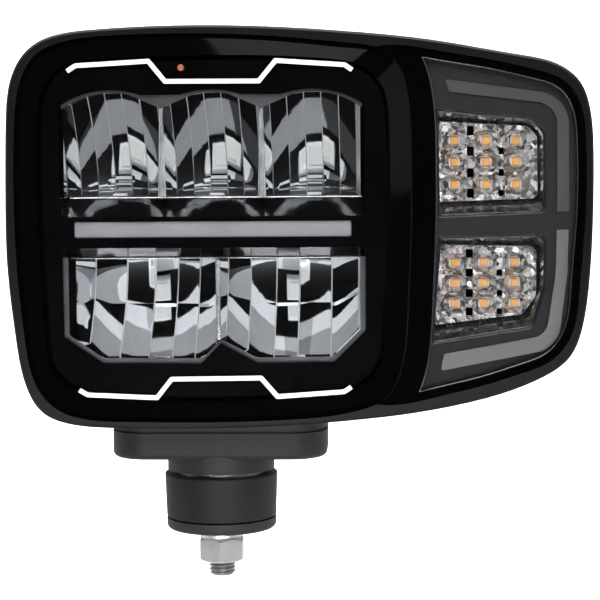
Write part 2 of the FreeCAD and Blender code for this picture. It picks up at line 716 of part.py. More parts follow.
def light_bar_board():
    x0, x1, z0, z1 = BAR
    return box(x0, x1, WINDOW_FRONT + 3.7, WINDOW_FRONT + 5.2, z0 - 2, z1 + 1)


def light_bar_leds():
    x0, x1, z0, z1 = BAR
    middle = (z0 + z1) / 2
    pitch = (x1 - x0) / 12
    return group([box(x0 + pitch * (i + 0.5) - 1.4, x0 + pitch * (i + 0.5) + 1.4,
                      WINDOW_FRONT + 2.8, WINDOW_FRONT + 3.7, middle - 1.4, middle + 1.4)
                  for i in range(12)])


def ramp(z_front, z_back, under):
    """Slanted gloss wall between a window's sill and the LED shelf."""
    y0, y1 = WINDOW_FRONT - 0.2, SHELF_FRONT - 0.3
    corners = [V(-61.9, y0, z_front), V(-61.9, y1, z_back), V(-61.9, y1, z_back + under),
               V(-61.9, y0, z_front + under)]
    return Part.Face(Part.makePolygon(corners + corners[:1])).extrude(V(127.2, 0, 0))


def inner_mask():
    y0 = WINDOW_FRONT - 1.7
    body = plate(inset(MIDDLE, 1.8), y0, WINDOW_FRONT)
    body = body.cut(arch_window(y0 - 1, 0)).cut(rim_window(y0 - 1, 0)).cut(bay_window(y0 - 1, 0))
    body = body.fuse([ramp(141.3, 148.6, -1.5), ramp(128.1, 123.4, 1.5)])
    x0, x1, z0, z1 = BAR
    body = body.cut(box(x0 - 0.15, x1 + 0.15, y0 - 1, WINDOW_FRONT + 1, z0 - 0.15, z1 + 0.15))
    for x, z in MASK_POSTS:
        body = body.fuse(rod(3.4, x, y0 + 0.5, z, -20.1 - y0 - 0.5, V(0, 1, 0)))
        body = body.cut(rod(1.5, x, y0 + 4, z, 40, V(0, 1, 0)))
    return body.cut(rod(1.5, STATUS[0], y0 - 1, STATUS[1], 5, V(0, 1, 0)))


def mask_studs():
    """Threaded pins that join the mask's posts to the housing's."""
    return group([rod(1.15, x, -30, z, 20, V(0, 1, 0)) for x, z in MASK_POSTS])


def driver_board():
    sheet = box(-54, 57, 2.6, 4.2, 152, 192)
    return sheet


def driver_parts():
    pieces = []
    for i in range(4):
        pieces.append(rod(3.4, -42 + 9 * i, 0.2, 184, 2.35, V(0, 1, 0)))
    for i in range(3):
        pieces.append(box(2 + 15 * i, 13 + 15 * i, 0.0, 2.55, 179, 189))
    for i in range(6):
        pieces.append(box(-46 + 16 * i, -41 + 16 * i, 1.2, 2.55, 171, 175))
    return group(pieces)


# ---- the wing -----------------------------------------------------------

def rounded_wire(points, radii, place):
    """Outline with its corners rounded one by one; place puts a flat (x, z) into space."""
    count = len(points)
    marks = []
    for i in range(count):
        corner = V(points[i][0], 0, points[i][1])
        before = V(points[i - 1][0], 0, points[i - 1][1]) - corner
        after = V(points[(i + 1) % count][0], 0, points[(i + 1) % count][1]) - corner
        before.normalize()
        after.normalize()
        half = before.getAngle(after) / 2
        reach = radii[i] / math.tan(half)
        middle = before + after
        middle.normalize()
        depth = radii[i] / math.sin(half) - radii[i]
        arc = (corner + before * reach, corner + middle * depth, corner + after * reach)
        marks.append([place(p.x, p.z) for p in arc])
    edges = []
    for i in range(count):
        start, top, end = marks[i]
        edges.append(Part.Arc(start, top, end).toShape())
        edges.append(Part.makeLine(end, marks[(i + 1) % count][0]))
    return Part.Wire(edges)


def rounded(points, radii, y0, y1):
    """Prism of a straight-sided outline with rounded corners."""
    wire = rounded_wire(points, radii, lambda x, z: V(x, y0, z))
    return Part.Face(wire).extrude(V(0, y1 - y0, 0))


def on_wing(offset):
    """Puts flat points on the wing's slanted front, moved back by offset."""
    return lambda x, z: V(x, surface_y(x, offset), z)


def funnel(front, front_offset, back, back_offset, radii):
    """Solid between two rounded outlines, one behind the other."""
    return Part.makeLoft([rounded_wire(front, radii, on_wing(front_offset)),
                          rounded_wire(back, radii, on_wing(back_offset))], True, True)


UPPER_WINDOW = [(95, 185.5), (137.2, 181.8), (142, 175.5), (142.2, 141.2), (96, 139.7)]
UPPER_SEAT = [(97, 180.5), (134.5, 178.3), (138.9, 174.5), (139.2, 147.2), (96.3, 146)]
UPPER_RADII = [1.0, 3.0, 3.0, 3.0, 1.0]
LOWER_WINDOW = [(96.4, 131.8), (142.4, 132.6), (142.2, 109.8), (136.8, 92.2), (93, 86)]
LOWER_SEAT = [(96.6, 128.2), (138.8, 127), (138.6, 105.5), (133, 97.6), (95, 93.4)]
LOWER_RADII = [1.0, 4.0, 4.0, 4.0, 1.0]
RECESS_FRONT = 6.9
RECESS_BACK = 17.0
RECESS_WALL = 1.2
OPTIC_FRONT = 14.4
OPTIC_BACK = 18.4


def shrink(points, amount):
    """Pull an outline towards its middle by about the given amount."""
    cx = sum(p[0] for p in points) / len(points)
    cz = sum(p[1] for p in points) / len(points)
    out = []
    for x, z in points:
        out.append((x - amount * math.copysign(1, x - cx), z - amount * math.copysign(1, z - cz)))
    return out


UPPER_GUIDE = [(99.3, 198), (151.4, 190.8), (151.8, 142), (146.7, 142), (146.5, 187.1), (101, 192.7)]
UPPER_GUIDE_RADII = [0.8, 14.0, 0.4, 0.4, 9.0, 0.8]
LOWER_GUIDE = [(151.5, 134.2), (151.1, 116), (147.1, 83.9), (97.4, 74.9), (98.7, 82), (142.2, 89.4),
               (146.1, 116), (146.5, 134.2)]
LOWER_GUIDE_RADII = [0.4, 60.0, 12.0, 0.8, 0.8, 7.5, 60.0, 0.4]


def wing_bezel():
    sheet = wing_prism(-60, 0, -3.6).cut(plate(inset(MAIN, -6), -70, 0))
    sheet = layer(sheet, 6.2, 1.8)
    sheet = sheet.cut(rounded(UPPER_WINDOW, UPPER_RADII, -60, 0))
    sheet = sheet.cut(rounded(LOWER_WINDOW, LOWER_RADII, -60, 0))
    sheet = sheet.cut(rounded(UPPER_GUIDE, UPPER_GUIDE_RADII, -60, 0))
    sheet = sheet.cut(rounded(LOWER_GUIDE, LOWER_GUIDE_RADII, -60, 0))
    return sheet


def light_guide(outline, radii):
    return layer(rounded(outline, radii, -60, 0), 5.0, 6.0)


def recess(window, seat, radii):
    """Gloss funnel from the bezel's window down to the indicator's optic."""
    outside = funnel(shrink(window, -RECESS_WALL), 8.05, shrink(seat, -RECESS_WALL), RECESS_BACK, radii)
    lip = funnel(shrink(window, 0.1), RECESS_FRONT, shrink(window, 0.1), 8.1, radii)
    inside = funnel(shrink(window, 1.0), RECESS_FRONT - 0.1, seat, RECESS_BACK + 0.1, radii)
    return outside.fuse(lip).cut(inside)


def octagon(x, z, half_x, half_z, offset):
    corner = 0.55
    flat = [(half_x, -half_z * corner), (half_x, half_z * corner), (half_x * corner, half_z),
            (-half_x * corner, half_z), (-half_x, half_z * corner), (-half_x, -half_z * corner),
            (-half_x * corner, -half_z), (half_x * corner, -half_z)]
    place = on_wing(offset)
    points = [place(x + dx, z + dz) for dx, dz in flat]
    return Part.makePolygon(points + points[:1])


def slots(xs, zs):
    """Rectangular openings between the columns of lights."""
    cut = []
    half_step = (zs[0] - zs[1]) / 2
    gaps = [zs[0] + half_step * 0.9, zs[0] - half_step, zs[1] - half_step, zs[2] - half_step * 0.8]
    for z in gaps:
        cut.append(box((xs[0] + xs[1]) / 2 - 1.6, (xs[0] + xs[1]) / 2 + 1.6, -60, 0, z - 2.0, z + 2.0))
    for z in gaps[1:]:
        cut.append(box((xs[1] + xs[2]) / 2 - 1.3, (xs[1] + xs[2]) / 2 + 1.3, -60, 0, z - 1.5, z + 1.5))
    return cut


def optic(seat, radii, xs, zs):
    """Clear block with a faceted cup in front of every light."""
    outline = shrink(seat, 0.25)
    block = funnel(outline, OPTIC_FRONT, outline, OPTIC_BACK, radii)
    half_x = (xs[1] - xs[0]) / 2 - 0.9
    half_z = (zs[0] - zs[1]) / 2 - 0.35
    for x in xs:
        for z in zs:
            cup = Part.makeLoft([octagon(x, z, half_x * 1.03, half_z * 1.03, OPTIC_FRONT - 0.1),
                                 octagon(x, z, 2.3, 2.3, OPTIC_BACK + 0.1)], True, True)
            block = block.cut(cup)
    return block.cut(slots(xs, zs))


def indicator_board(seat, radii, xs, zs):
    outline = shrink(seat, -1.0)
    sheet = funnel(outline, OPTIC_BACK + 1.5, outline, OPTIC_BACK + 1.5 + BOARD, radii)
    return sheet.cut(slots(xs, zs))


def indicator_leds(xs, zs):
    return group([layer(box(x - LED_SIZE / 2, x + LED_SIZE / 2, -60, 0, z - LED_SIZE / 2, z + LED_SIZE / 2),
                        18.6, 1.3) for x in xs for z in zs])


def position_led_board():
    return layer(box(144.6, 153.6, -60, 0, 137.3, 138.9), 8.3, 5.0)


def position_leds():
    upper = layer(box(147.7, 150.7, -60, 0, 138.95, 140.6), 8.4, 2.6)
    lower = layer(box(147.7, 150.7, -60, 0, 135.6, 137.25), 8.4, 2.6)
    return group([upper, lower])


# ---- write every piece --------------------------------------------------

PIECES = {
    "base_cap": base_cap,
    "stud_bolt": stud_bolt,
    "friction_washer": friction_washer,
    "spring_washer": spring_washer,
    "hex_nut": hex_nut,
    "swivel_collar": swivel_collar,
    "ball_post": ball_post,
    "foot_block": foot_block,
    "foot_screws": foot_screws,
    "foot_plate": foot_plate,
    "foot_gasket": foot_gasket,
    "socket_ring": socket_ring,
    "socket_ring_screws": socket_ring_screws,
    "rear_housing": rear_housing,
    "cooling_fins": cooling_fins,
    "cooling_fin_screws": cooling_fin_screws,
    "vent_plug": vent_plug,
    "connector_socket": connector_socket,
    "connector_pins": connector_pins,
    "connector_screws": connector_screws,
    "front_frame": front_frame,
    "main_lens": main_lens,
    "main_lens_border": main_lens_border,
    "main_lens_seal": main_lens_seal,
    "wing_lens": wing_lens,
    "wing_lens_border": wing_lens_border,
    "wing_lens_seal": wing_lens_seal,
    "top_stripe": lambda: stripe(TOP_STRIPE),
    "bottom_stripe": lambda: stripe(BOTTOM_STRIPE),
    "status_lens": status_lens,
    "inner_mask": inner_mask,
    "mask_studs": mask_studs,
    "light_bar": light_bar,
    "light_bar_board": light_bar_board,
    "light_bar_leds": light_bar_leds,
    "upper_reflector": upper_reflector,
    "lower_reflector": lower_reflector,
    "upper_led_board": upper_led_board,
    "lower_led_board": lower_led_board,
    "upper_leds": upper_leds,
    "lower_leds": lower_leds,
    "led_heat_sink": led_heat_sink,
    "driver_board": driver_board,
    "driver_parts": driver_parts,
    "wing_bezel": wing_bezel,
    "upper_light_guide": lambda: light_guide(UPPER_GUIDE, UPPER_GUIDE_RADII),
    "lower_light_guide": lambda: light_guide(LOWER_GUIDE, LOWER_GUIDE_RADII),
    "upper_indicator_recess": lambda: recess(UPPER_WINDOW, UPPER_SEAT, UPPER_RADII),
    "lower_indicator_recess": lambda: recess(LOWER_WINDOW, LOWER_SEAT, LOWER_RADII),
    "upper_indicator_optic": lambda: optic(UPPER_SEAT, UPPER_RADII, UPPER_LED_X, UPPER_LED_Z),
    "lower_indicator_optic": lambda: optic(LOWER_SEAT, LOWER_RADII, LOWER_LED_X, LOWER_LED_Z),
    "upper_indicator_board": lambda: indicator_board(UPPER_SEAT, UPPER_RADII, UPPER_LED_X, UPPER_LED_Z),
    "lower_indicator_board": lambda: indicator_board(LOWER_SEAT, LOWER_RADII, LOWER_LED_X, LOWER_LED_Z),
    "upper_indicator_leds": lambda: indicator_leds(UPPER_LED_X, UPPER_LED_Z),
    "lower_indicator_leds": lambda: indicator_leds(LOWER_LED_X, LOWER_LED_Z),
    "position_led_board": position_led_board,
    "position_leds": position_leds,
}

for name, make in PIECES.items():
    save(name, make())
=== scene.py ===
import bmesh
import bpy
import math
from mathutils import Matrix, Vector


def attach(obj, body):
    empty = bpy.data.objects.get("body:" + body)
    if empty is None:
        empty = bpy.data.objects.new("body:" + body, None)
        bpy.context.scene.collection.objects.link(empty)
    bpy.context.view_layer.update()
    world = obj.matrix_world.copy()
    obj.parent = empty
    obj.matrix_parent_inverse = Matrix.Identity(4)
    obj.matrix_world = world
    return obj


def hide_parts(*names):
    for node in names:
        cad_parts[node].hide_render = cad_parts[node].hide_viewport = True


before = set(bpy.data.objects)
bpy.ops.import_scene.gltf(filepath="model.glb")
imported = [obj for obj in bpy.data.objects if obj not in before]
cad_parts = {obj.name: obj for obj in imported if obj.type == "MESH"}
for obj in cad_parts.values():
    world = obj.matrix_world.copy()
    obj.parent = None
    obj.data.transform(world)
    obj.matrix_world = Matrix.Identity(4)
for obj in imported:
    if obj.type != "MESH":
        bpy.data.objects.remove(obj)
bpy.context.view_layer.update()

MM = 0.001

# ---- camera -------------------------------------------------------------

CAMERA_AT = Vector((0.07463, -0.88625, 0.17482))
CAMERA_YAW = 2.5        # degrees to the right of straight on
CAMERA_RISE = 4.7       # degrees above level
CAMERA_ROLL = 0.45
CAMERA_LENS = 120.0

# ---- dimensions shared with the solids (mm) -----------------------------

WINDOW_FRONT = -46.6    # y of the reflectors' front edge
MASK_FACE = -48.1       # the mask is charcoal in front of this y and glossy behind it
UPPER_CENTRES = (-41.0, 1.2, 43.4)
UPPER_HALF = 20.3
UPPER_FLOOR = 149.4
LOWER_CENTRES = (-27.2, 34.0)
LOWER_HALF = 29.6
LOWER_CEILING = 122.7
REFLECTOR_DEPTH = 40.6
REFLECTOR_FAR_UP = 195.0
REFLECTOR_FAR_DOWN = 78.0
SIDE_FALL = 0.15        # how much shallower a bowl is at its sides
PILLOW = 0.1            # hollow of every column
RIDGE = 0.16            # height of the ridge at every seam
CURL = 1.8              # exponent of the bowls' profile
CLOSING = 0.9           # share of its depth that a bowl loses from the lamp board to its far end
BOWL_ROWS = 14          # rows of faces in every tier
BOWL_START = WINDOW_FRONT - 0.6         # y from which the depth of the bowls is measured
EDGE_Y = WINDOW_FRONT + 0.2             # y of the bowls' rims
ARCH_WALL_BACK = WINDOW_FRONT + 12.0    # back edge of the wall over the arches
BAY_WALL_BACK = WINDOW_FRONT + 10.0     # back edge of the wall under the bays
RIDGE_BACK = WINDOW_FRONT + 0.9         # back of the ridges between the bowls
COLUMN_SHARES = (0.0, 0.025, 0.1, 0.2, 0.3, 0.4, 0.5, 0.6, 0.7, 0.8, 0.9, 0.975, 1.0)
SHELF_FRONT = -35.5     # y of the lamp boards' front edge
ARCH_TOP = 193.2        # crown of the arches over the upper bowls
ARCH_RISE = 6.8
ARCH_OVERHANG = 0.85    # how far an arch runs past its bowl on each side
RIM_OVERHANG = 0.8
RIM_WIDTH = 2.6
CUSP_FILLER = (14.0, 192.6, 186.6, 194.0)       # half width, ends, cusp and top of the fillers
BAY_CORNERS = [(-70, 90.4), (-60.0, 91.2), (-46, 81.4), (-3.2, 81.2), (4.4, 89.4), (19.5, 81.4),
               (52.0, 81.8), (63.4, 93.2), (70, 93.2)]
BAY_SPAN = (-60.0, 63.4)
UPPER_RIDGE = (3.6, 1.5, UPPER_FLOOR, 187.0)    # widths at foot and head, heights of foot and head
LOWER_RIDGE = (1.9, 2.1, 89.0, LOWER_CEILING)
BAY_RIM_WIDTH = 3.4
BAY_SIDE = (90, 124)    # foot and head of the rim beside the bays
SILL_SPAN = (-60.5, 63.9)
SILL_OVERHANG = 0.35
# painted reflections: light rows painted across the lamp boards for the bowls to mirror: (from this y,
# brightness)
UPPER_PAINTED_REFLECTION_BANDS = [(-35.5, 0.0), (-26.5, 0.4), (-22.6, 0.0), (-17.4, 1.0), (-16.0, 0.0)]
LOWER_PAINTED_REFLECTION_BANDS = [(-35.5, 0.0), (-31.5, 0.45), (-27.0, 1.0), (-24.5, 0.0), (-17.3, 1.0), (-9.0, 0.0)]
# which part of a bowl's width is painted light, as painted reflections for the bowls to mirror: (from this
# share of the pitch, brightness)
UPPER_PAINTED_REFLECTION_PATCHES = [(0.0, 0.1), (0.27, 1.0), (0.54, 0.15)]
LOWER_PAINTED_REFLECTION_PATCHES = [(0.0, 1.0), (0.42, 0.6), (0.58, 1.0)]
UPPER_PITCH = 42.2
LOWER_PITCH = 61.2
# lean of every facet, mm forwards per mm of height: one row of columns for each tier
UPPER_LEAN = [(0.02, -0.015, 0.0, 0.03, -0.03)]
LOWER_LEAN = [(-0.10, -0.04, 0.04, -0.05, 0.08), (0.09, -0.03, 0.11, 0.02, 0.07)]
UPPER_TIERS = (0.0, 1.0)
LOWER_TIERS = (0.0, 0.5, 1.0)
# seams between the columns, as shares of a bowl's half width, and the depth of each column's flutes
UPPER_SEAMS = (-0.9, -0.54, -0.18, 0.18, 0.54, 0.9)
LOWER_SEAMS = ((-0.88, -0.42, 0.0, 0.34, 0.67, 0.97), (-0.97, -0.64, -0.26, 0.08, 0.56, 0.96))
UPPER_FLUTES = (0.0, 0.0, 0.0, 0.0, 0.0)
LOWER_FLUTES = ((0.0, 0.028, 0.0, 0.018, 0.018), (0.0, 0.0, 0.0, 0.028, 0.0))
STUD_R = 6.0
STUD_PITCH = 1.75
STUD_END = -21.7
STUD_CHAMFER = 1.3
STUD_TOP = 2.0          # the shown stud ends here, inside the base cap
THREAD_DEPTH = 0.61 * STUD_PITCH

# ---- studio (mm for the stage, m and W for the lights) ------------------

FLOOR_Z = -150.0
FLOOR_HALF = 3000
FLOOR_FRONT = -2500.0
STAGE_TOP = 2500.0
BACKDROP_Y = 1200.0
BACKDROP_RADIUS = 500.0
WALL_SIDE = 2900.0
WALL_FRONT = -2400.0
WALL_BACK = 1690.0
WALL_CORNER = 600.0
ARC_STEPS = 12
# name, place, aim, width, height, power
LIGHTS = [
    ("front_box", (0.1, -1.5, 1.2), (0, 0, 0.12), 1.2, 1.2, 34),
    ("fill", (1.1, -0.7, 0.5), (0, 0, 0.12), 0.8, 0.8, 2),
    ("top", (0.1, -0.1, 1.3), (0, 0, 0.1), 1.0, 1.0, 9),
    ("low_strip", (0.05, -0.75, -0.105), (0, 0, 0.13), 0.9, 0.06, 3.2),
    ("backdrop", (0, 0.7, 1.4), (0, 1.5, 0.3), 2.0, 2.0, 60),
]
# brightness of the surround, from the side behind the viewer (0) to the side behind the part (1)
SURROUND = [(0.0, 0.004), (0.22, 0.012), (0.34, 0.10), (0.46, 0.8), (1.0, 1.0)]


# ---- material helpers ---------------------------------------------------

def grey(tone):
    return (tone, tone, tone)


def set_stops(ramp, stops):
    while len(ramp.elements) < len(stops):
        ramp.elements.new(0.5)
    for element, (position, colour) in zip(ramp.elements, stops):
        element.position = position
        element.color = (*colour, 1.0)


class Nodes:
    """A material's node tree, with short names for what every material here needs."""

    def __init__(self, name):
        self.material = bpy.data.materials.new(name)
        self.material.use_nodes = True
        self.tree = self.material.node_tree
        self.tree.nodes.clear()
        self.out = self.add("ShaderNodeOutputMaterial")

    def add(self, kind, **settings):
        """A new node, with its inputs or its own properties set by name."""
        node = self.tree.nodes.new(kind)
        for key, value in settings.items():
            if key in node.inputs:
                node.inputs[key].default_value = value
            else:
                setattr(node, key, value)
        return node

    def link(self, source, target):
        self.tree.links.new(source, target)

    def place(self, scale=1.0):
        coord = self.add("ShaderNodeTexCoord")
        mapping = self.add("ShaderNodeMapping")
        mapping.inputs["Scale"].default_value = (scale, scale, scale)
        self.link(coord.outputs["Object"], mapping.inputs["Vector"])
        return mapping.outputs["Vector"]

    def noise(self, scale, detail=3.0, rough=0.5):
        node = self.add("ShaderNodeTexNoise", Scale=scale, Detail=detail, Roughness=rough)
        self.link(self.place(), node.inputs["Vector"])
        return node.outputs["Fac"]

    def ramp(self, value, stops, interpolation="LINEAR"):
        node = self.add("ShaderNodeValToRGB")
        node.color_ramp.interpolation = interpolation
        set_stops(node.color_ramp, stops)
        self.link(value, node.inputs["Fac"])
        return node.outputs["Color"]

    def steps(self, value, stops):
        """Grey steps with hard edges."""
        return self.ramp(value, [(position, grey(tone)) for position, tone in stops], "CONSTANT")

    def blend(self, fac, first, second):
        """Mix of two shaders, all second where fac is 1."""
        node = self.add("ShaderNodeMixShader")
        if isinstance(fac, float):
            node.inputs["Fac"].default_value = fac
        else:
            self.link(fac, node.inputs["Fac"])
        self.link(first, node.inputs[1])
        self.link(second, node.inputs[2])
        return node.outputs["Shader"]

    def object_axes(self):
        """X, Y and Z of the shaded point on the object."""
        coord = self.add("ShaderNodeTexCoord")
        split = self.add("ShaderNodeSeparateXYZ")
        self.link(coord.outputs["Object"], split.inputs["Vector"])
        return split.outputs

    def spread(self, value, low_value, high_value):
        node = self.add("ShaderNodeMapRange")
        node.inputs["To Min"].default_value = low_value
        node.inputs["To Max"].default_value = high_value
        self.link(value, node.inputs["Value"])
        return node.outputs["Result"]

    def bump(self, height, strength, distance):
        node = self.add("ShaderNodeBump", Strength=strength, Distance=distance)
        self.link(height, node.inputs["Height"])
        return node.outputs["Normal"]

    def surface(self, shader):
        self.link(shader, self.out.inputs["Surface"])
        return self.material


def shade(colour, factor):
    return tuple(min(1.0, c * factor) for c in colour)


def plain(name, colour, rough, metal=0.0, grain=900.0, relief=0.05, depth=0.0001, vary=0.12,
          coat=0.0, cloud=18.0, shine=0.5):
    """Solid surface with slight cloudiness, a roughness that drifts and a fine grain."""
    n = Nodes(name)
    bsdf = n.add("ShaderNodeBsdfPrincipled", Metallic=metal)
    bsdf.inputs["Coat Weight"].default_value = coat
    bsdf.inputs["Specular IOR Level"].default_value = shine
    clouds = n.noise(cloud, 4.0)
    n.link(n.ramp(clouds, [(0.3, shade(colour, 1 - vary)), (0.7, shade(colour, 1 + vary))]),
           bsdf.inputs["Base Color"])
    n.link(n.spread(clouds, rough * 0.85, min(1.0, rough * 1.15)), bsdf.inputs["Roughness"])
    n.link(n.bump(n.noise(grain, 2.0), relief, depth), bsdf.inputs["Normal"])
    return n.surface(bsdf.outputs["BSDF"])


def clear(name, tint, gloss=0.9, rough=0.02, veil=0.0, grain=300.0, relief=0.01):
    """Thin clear plastic: see-through, with the shine of its surface."""
    n = Nodes(name)
    through = n.add("ShaderNodeBsdfTransparent")
    n.link(n.ramp(n.noise(12.0), [(0.2, shade(tint, 0.98)), (0.8, tint)]), through.inputs["Color"])
    shine = n.add("ShaderNodeBsdfGlossy", Roughness=rough)
    milk = n.add("ShaderNodeBsdfDiffuse")
    milk.inputs["Color"].default_value = (*shade(tint, 0.75), 1)
    normal = n.bump(n.noise(grain), relief, 0.0001)
    n.link(normal, shine.inputs["Normal"])
    fresnel = n.add("ShaderNodeFresnel", IOR=1.45)
    scale = n.add("ShaderNodeMath", operation="MULTIPLY")
    scale.inputs[1].default_value = gloss
    n.link(fresnel.outputs["Fac"], scale.inputs[0])
    veiled = n.blend(veil, through.outputs["BSDF"], milk.outputs["BSDF"])
    return n.surface(n.blend(scale.outputs["Value"], veiled, shine.outputs["BSDF"]))


def glint_painted_crystal_material(name):
    """Clear plastic cut into many small facets, part see-through; every facet is tilted at random and painted
    a random tone from dark to light, painted glints that make some bright and some dark.
    """
    n = Nodes(name)
    cells = n.add("ShaderNodeTexVoronoi", Scale=560.0)
    n.link(n.place(), cells.inputs["Vector"])
    centred = n.add("ShaderNodeVectorMath", operation="SUBTRACT")
    centred.inputs[1].default_value = (0.5, 0.5, 0.5)
    n.link(cells.outputs["Color"], centred.inputs[0])
    scaled = n.add("ShaderNodeVectorMath", operation="SCALE", Scale=0.4)
    n.link(centred.outputs["Vector"], scaled.inputs[0])
    geometry = n.add("ShaderNodeNewGeometry")
    tilted = n.add("ShaderNodeVectorMath", operation="ADD")
    n.link(geometry.outputs["Normal"], tilted.inputs[0])
    n.link(scaled.outputs["Vector"], tilted.inputs[1])
    facet = n.add("ShaderNodeVectorMath", operation="NORMALIZE")
    n.link(tilted.outputs["Vector"], facet.inputs[0])
    split = n.add("ShaderNodeSeparateXYZ")
    n.link(cells.outputs["Color"], split.inputs["Vector"])
    cut = n.add("ShaderNodeBsdfPrincipled", Metallic=0.45, Roughness=0.2)
    # painted glints: each facet's base colour is a random tone from near black to light grey
    tones = [(0.15, (0.07, 0.062, 0.06)), (0.5, (0.36, 0.34, 0.33)), (0.85, (0.72, 0.71, 0.7))]
    n.link(n.ramp(split.outputs["X"], tones), cut.inputs["Base Color"])
    n.link(facet.outputs["Vector"], cut.inputs["Normal"])
    through = n.add("ShaderNodeBsdfTransparent")
    through.inputs["Color"].default_value = (0.93, 0.93, 0.94, 1)
    share = n.spread(split.outputs["Y"], 0.5, 1.0)
    return n.surface(n.blend(share, through.outputs["BSDF"], cut.outputs["BSDF"]))


def mask_material():
    """Charcoal satin on the front face, glossy black on the ramps and window edges."""
    n = Nodes("mask")
    front = n.add("ShaderNodeMath", operation="LESS_THAN")
    front.inputs[1].default_value = MASK_FACE * MM
    n.link(n.object_axes()["Y"], front.inputs[0])
    face = n.add("ShaderNodeBsdfPrincipled", Roughness=0.34)
    face.inputs["Specular IOR Level"].default_value = 0.02
    n.link(n.ramp(n.noise(25.0), [(0.3, (0.0009, 0.0009, 0.0012)), (0.7, (0.0014, 0.0014, 0.0018))]),
           face.inputs["Base Color"])
    n.link(n.bump(n.noise(2500.0), 0.05, 0.0001), face.inputs["Normal"])
    gloss = n.add("ShaderNodeBsdfPrincipled", Roughness=0.11)
    gloss.inputs["Specular IOR Level"].default_value = 0.05
    n.link(n.ramp(n.noise(10.0), [(0.3, (0.004, 0.004, 0.0045)), (0.7, (0.006, 0.006, 0.0065))]),
           gloss.inputs["Base Color"])
    return n.surface(n.blend(front.outputs["Value"], gloss.outputs["BSDF"], face.outputs["BSDF"]))


def chrome_material(name, rough=0.03, tint=(0.86, 0.87, 0.89)):
    """Vacuum-metallised plastic: mirror with the faintest orange peel."""
    n = Nodes(name)
    bsdf = n.add("ShaderNodeBsdfPrincipled", Metallic=1.0)
    n.link(n.ramp(n.noise(30.0), [(0.3, shade(tint, 0.97)), (0.7, tint)]), bsdf.inputs["Base Color"])
    n.link(n.spread(n.noise(60.0), rough * 0.8, rough * 1.3), bsdf.inputs["Roughness"])
    n.link(n.bump(n.noise(220.0, 1.0), 0.04, 0.0002), bsdf.inputs["Normal"])
    return n.surface(bsdf.outputs["BSDF"])


def collar_material():
    """Black rubber with a fine leathery grain."""
    n = Nodes("collar_rubber")
    bsdf = n.add("ShaderNodeBsdfPrincipled")
    bsdf.inputs["Specular IOR Level"].default_value = 0.24
    cells = n.add("ShaderNodeTexVoronoi", Scale=900.0, feature="DISTANCE_TO_EDGE")
    n.link(n.place(), cells.inputs["Vector"])
    n.link(n.ramp(n.noise(40.0), [(0.3, (0.008, 0.008, 0.0085)), (0.7, (0.012, 0.012, 0.0125))]),
           bsdf.inputs["Base Color"])
    n.link(n.spread(n.noise(160.0), 0.46, 0.62), bsdf.inputs["Roughness"])
    first = n.bump(cells.outputs["Distance"], 0.35, 0.0003)
    second = n.add("ShaderNodeBump", Strength=0.25, Distance=0.0003)
    n.link(n.noise(1400.0, 3.0), second.inputs["Height"])
    n.link(first, second.inputs["Normal"])
    n.link(second.outputs["Normal"], bsdf.inputs["Normal"])
    return n.surface(bsdf.outputs["BSDF"])


def guide_material(name, tone):
    """Milky light guide with fine cross grooves."""
    n = Nodes(name)
    bsdf = n.add("ShaderNodeBsdfPrincipled", Roughness=0.3)
    wave = n.add("ShaderNodeTexWave", Scale=420.0, Distortion=0.4, bands_direction="DIAGONAL")
    n.link(n.place(), wave.inputs["Vector"])
    milk = (tone, tone, tone * 1.02)
    n.link(n.ramp(wave.outputs["Fac"], [(0.2, shade(milk, 0.9)), (0.8, milk)]), bsdf.inputs["Base Color"])
    n.link(n.bump(wave.outputs["Fac"], 0.1, 0.0001), bsdf.inputs["Normal"])
    return n.surface(bsdf.outputs["BSDF"])


def board_material(name, base, pads):
    """Circuit board: solder mask with a scatter of small pads."""
    n = Nodes(name)
    bsdf = n.add("ShaderNodeBsdfPrincipled", Roughness=0.45)
    cells = n.add("ShaderNodeTexVoronoi", Scale=330.0)
    n.link(n.place(), cells.inputs["Vector"])
    n.link(n.ramp(cells.outputs["Distance"], [(0.16, pads), (0.2, base)]), bsdf.inputs["Base Color"])
    n.link(n.bump(cells.outputs["Distance"], 0.1, 0.0001), bsdf.inputs["Normal"])
    return n.surface(bsdf.outputs["BSDF"])


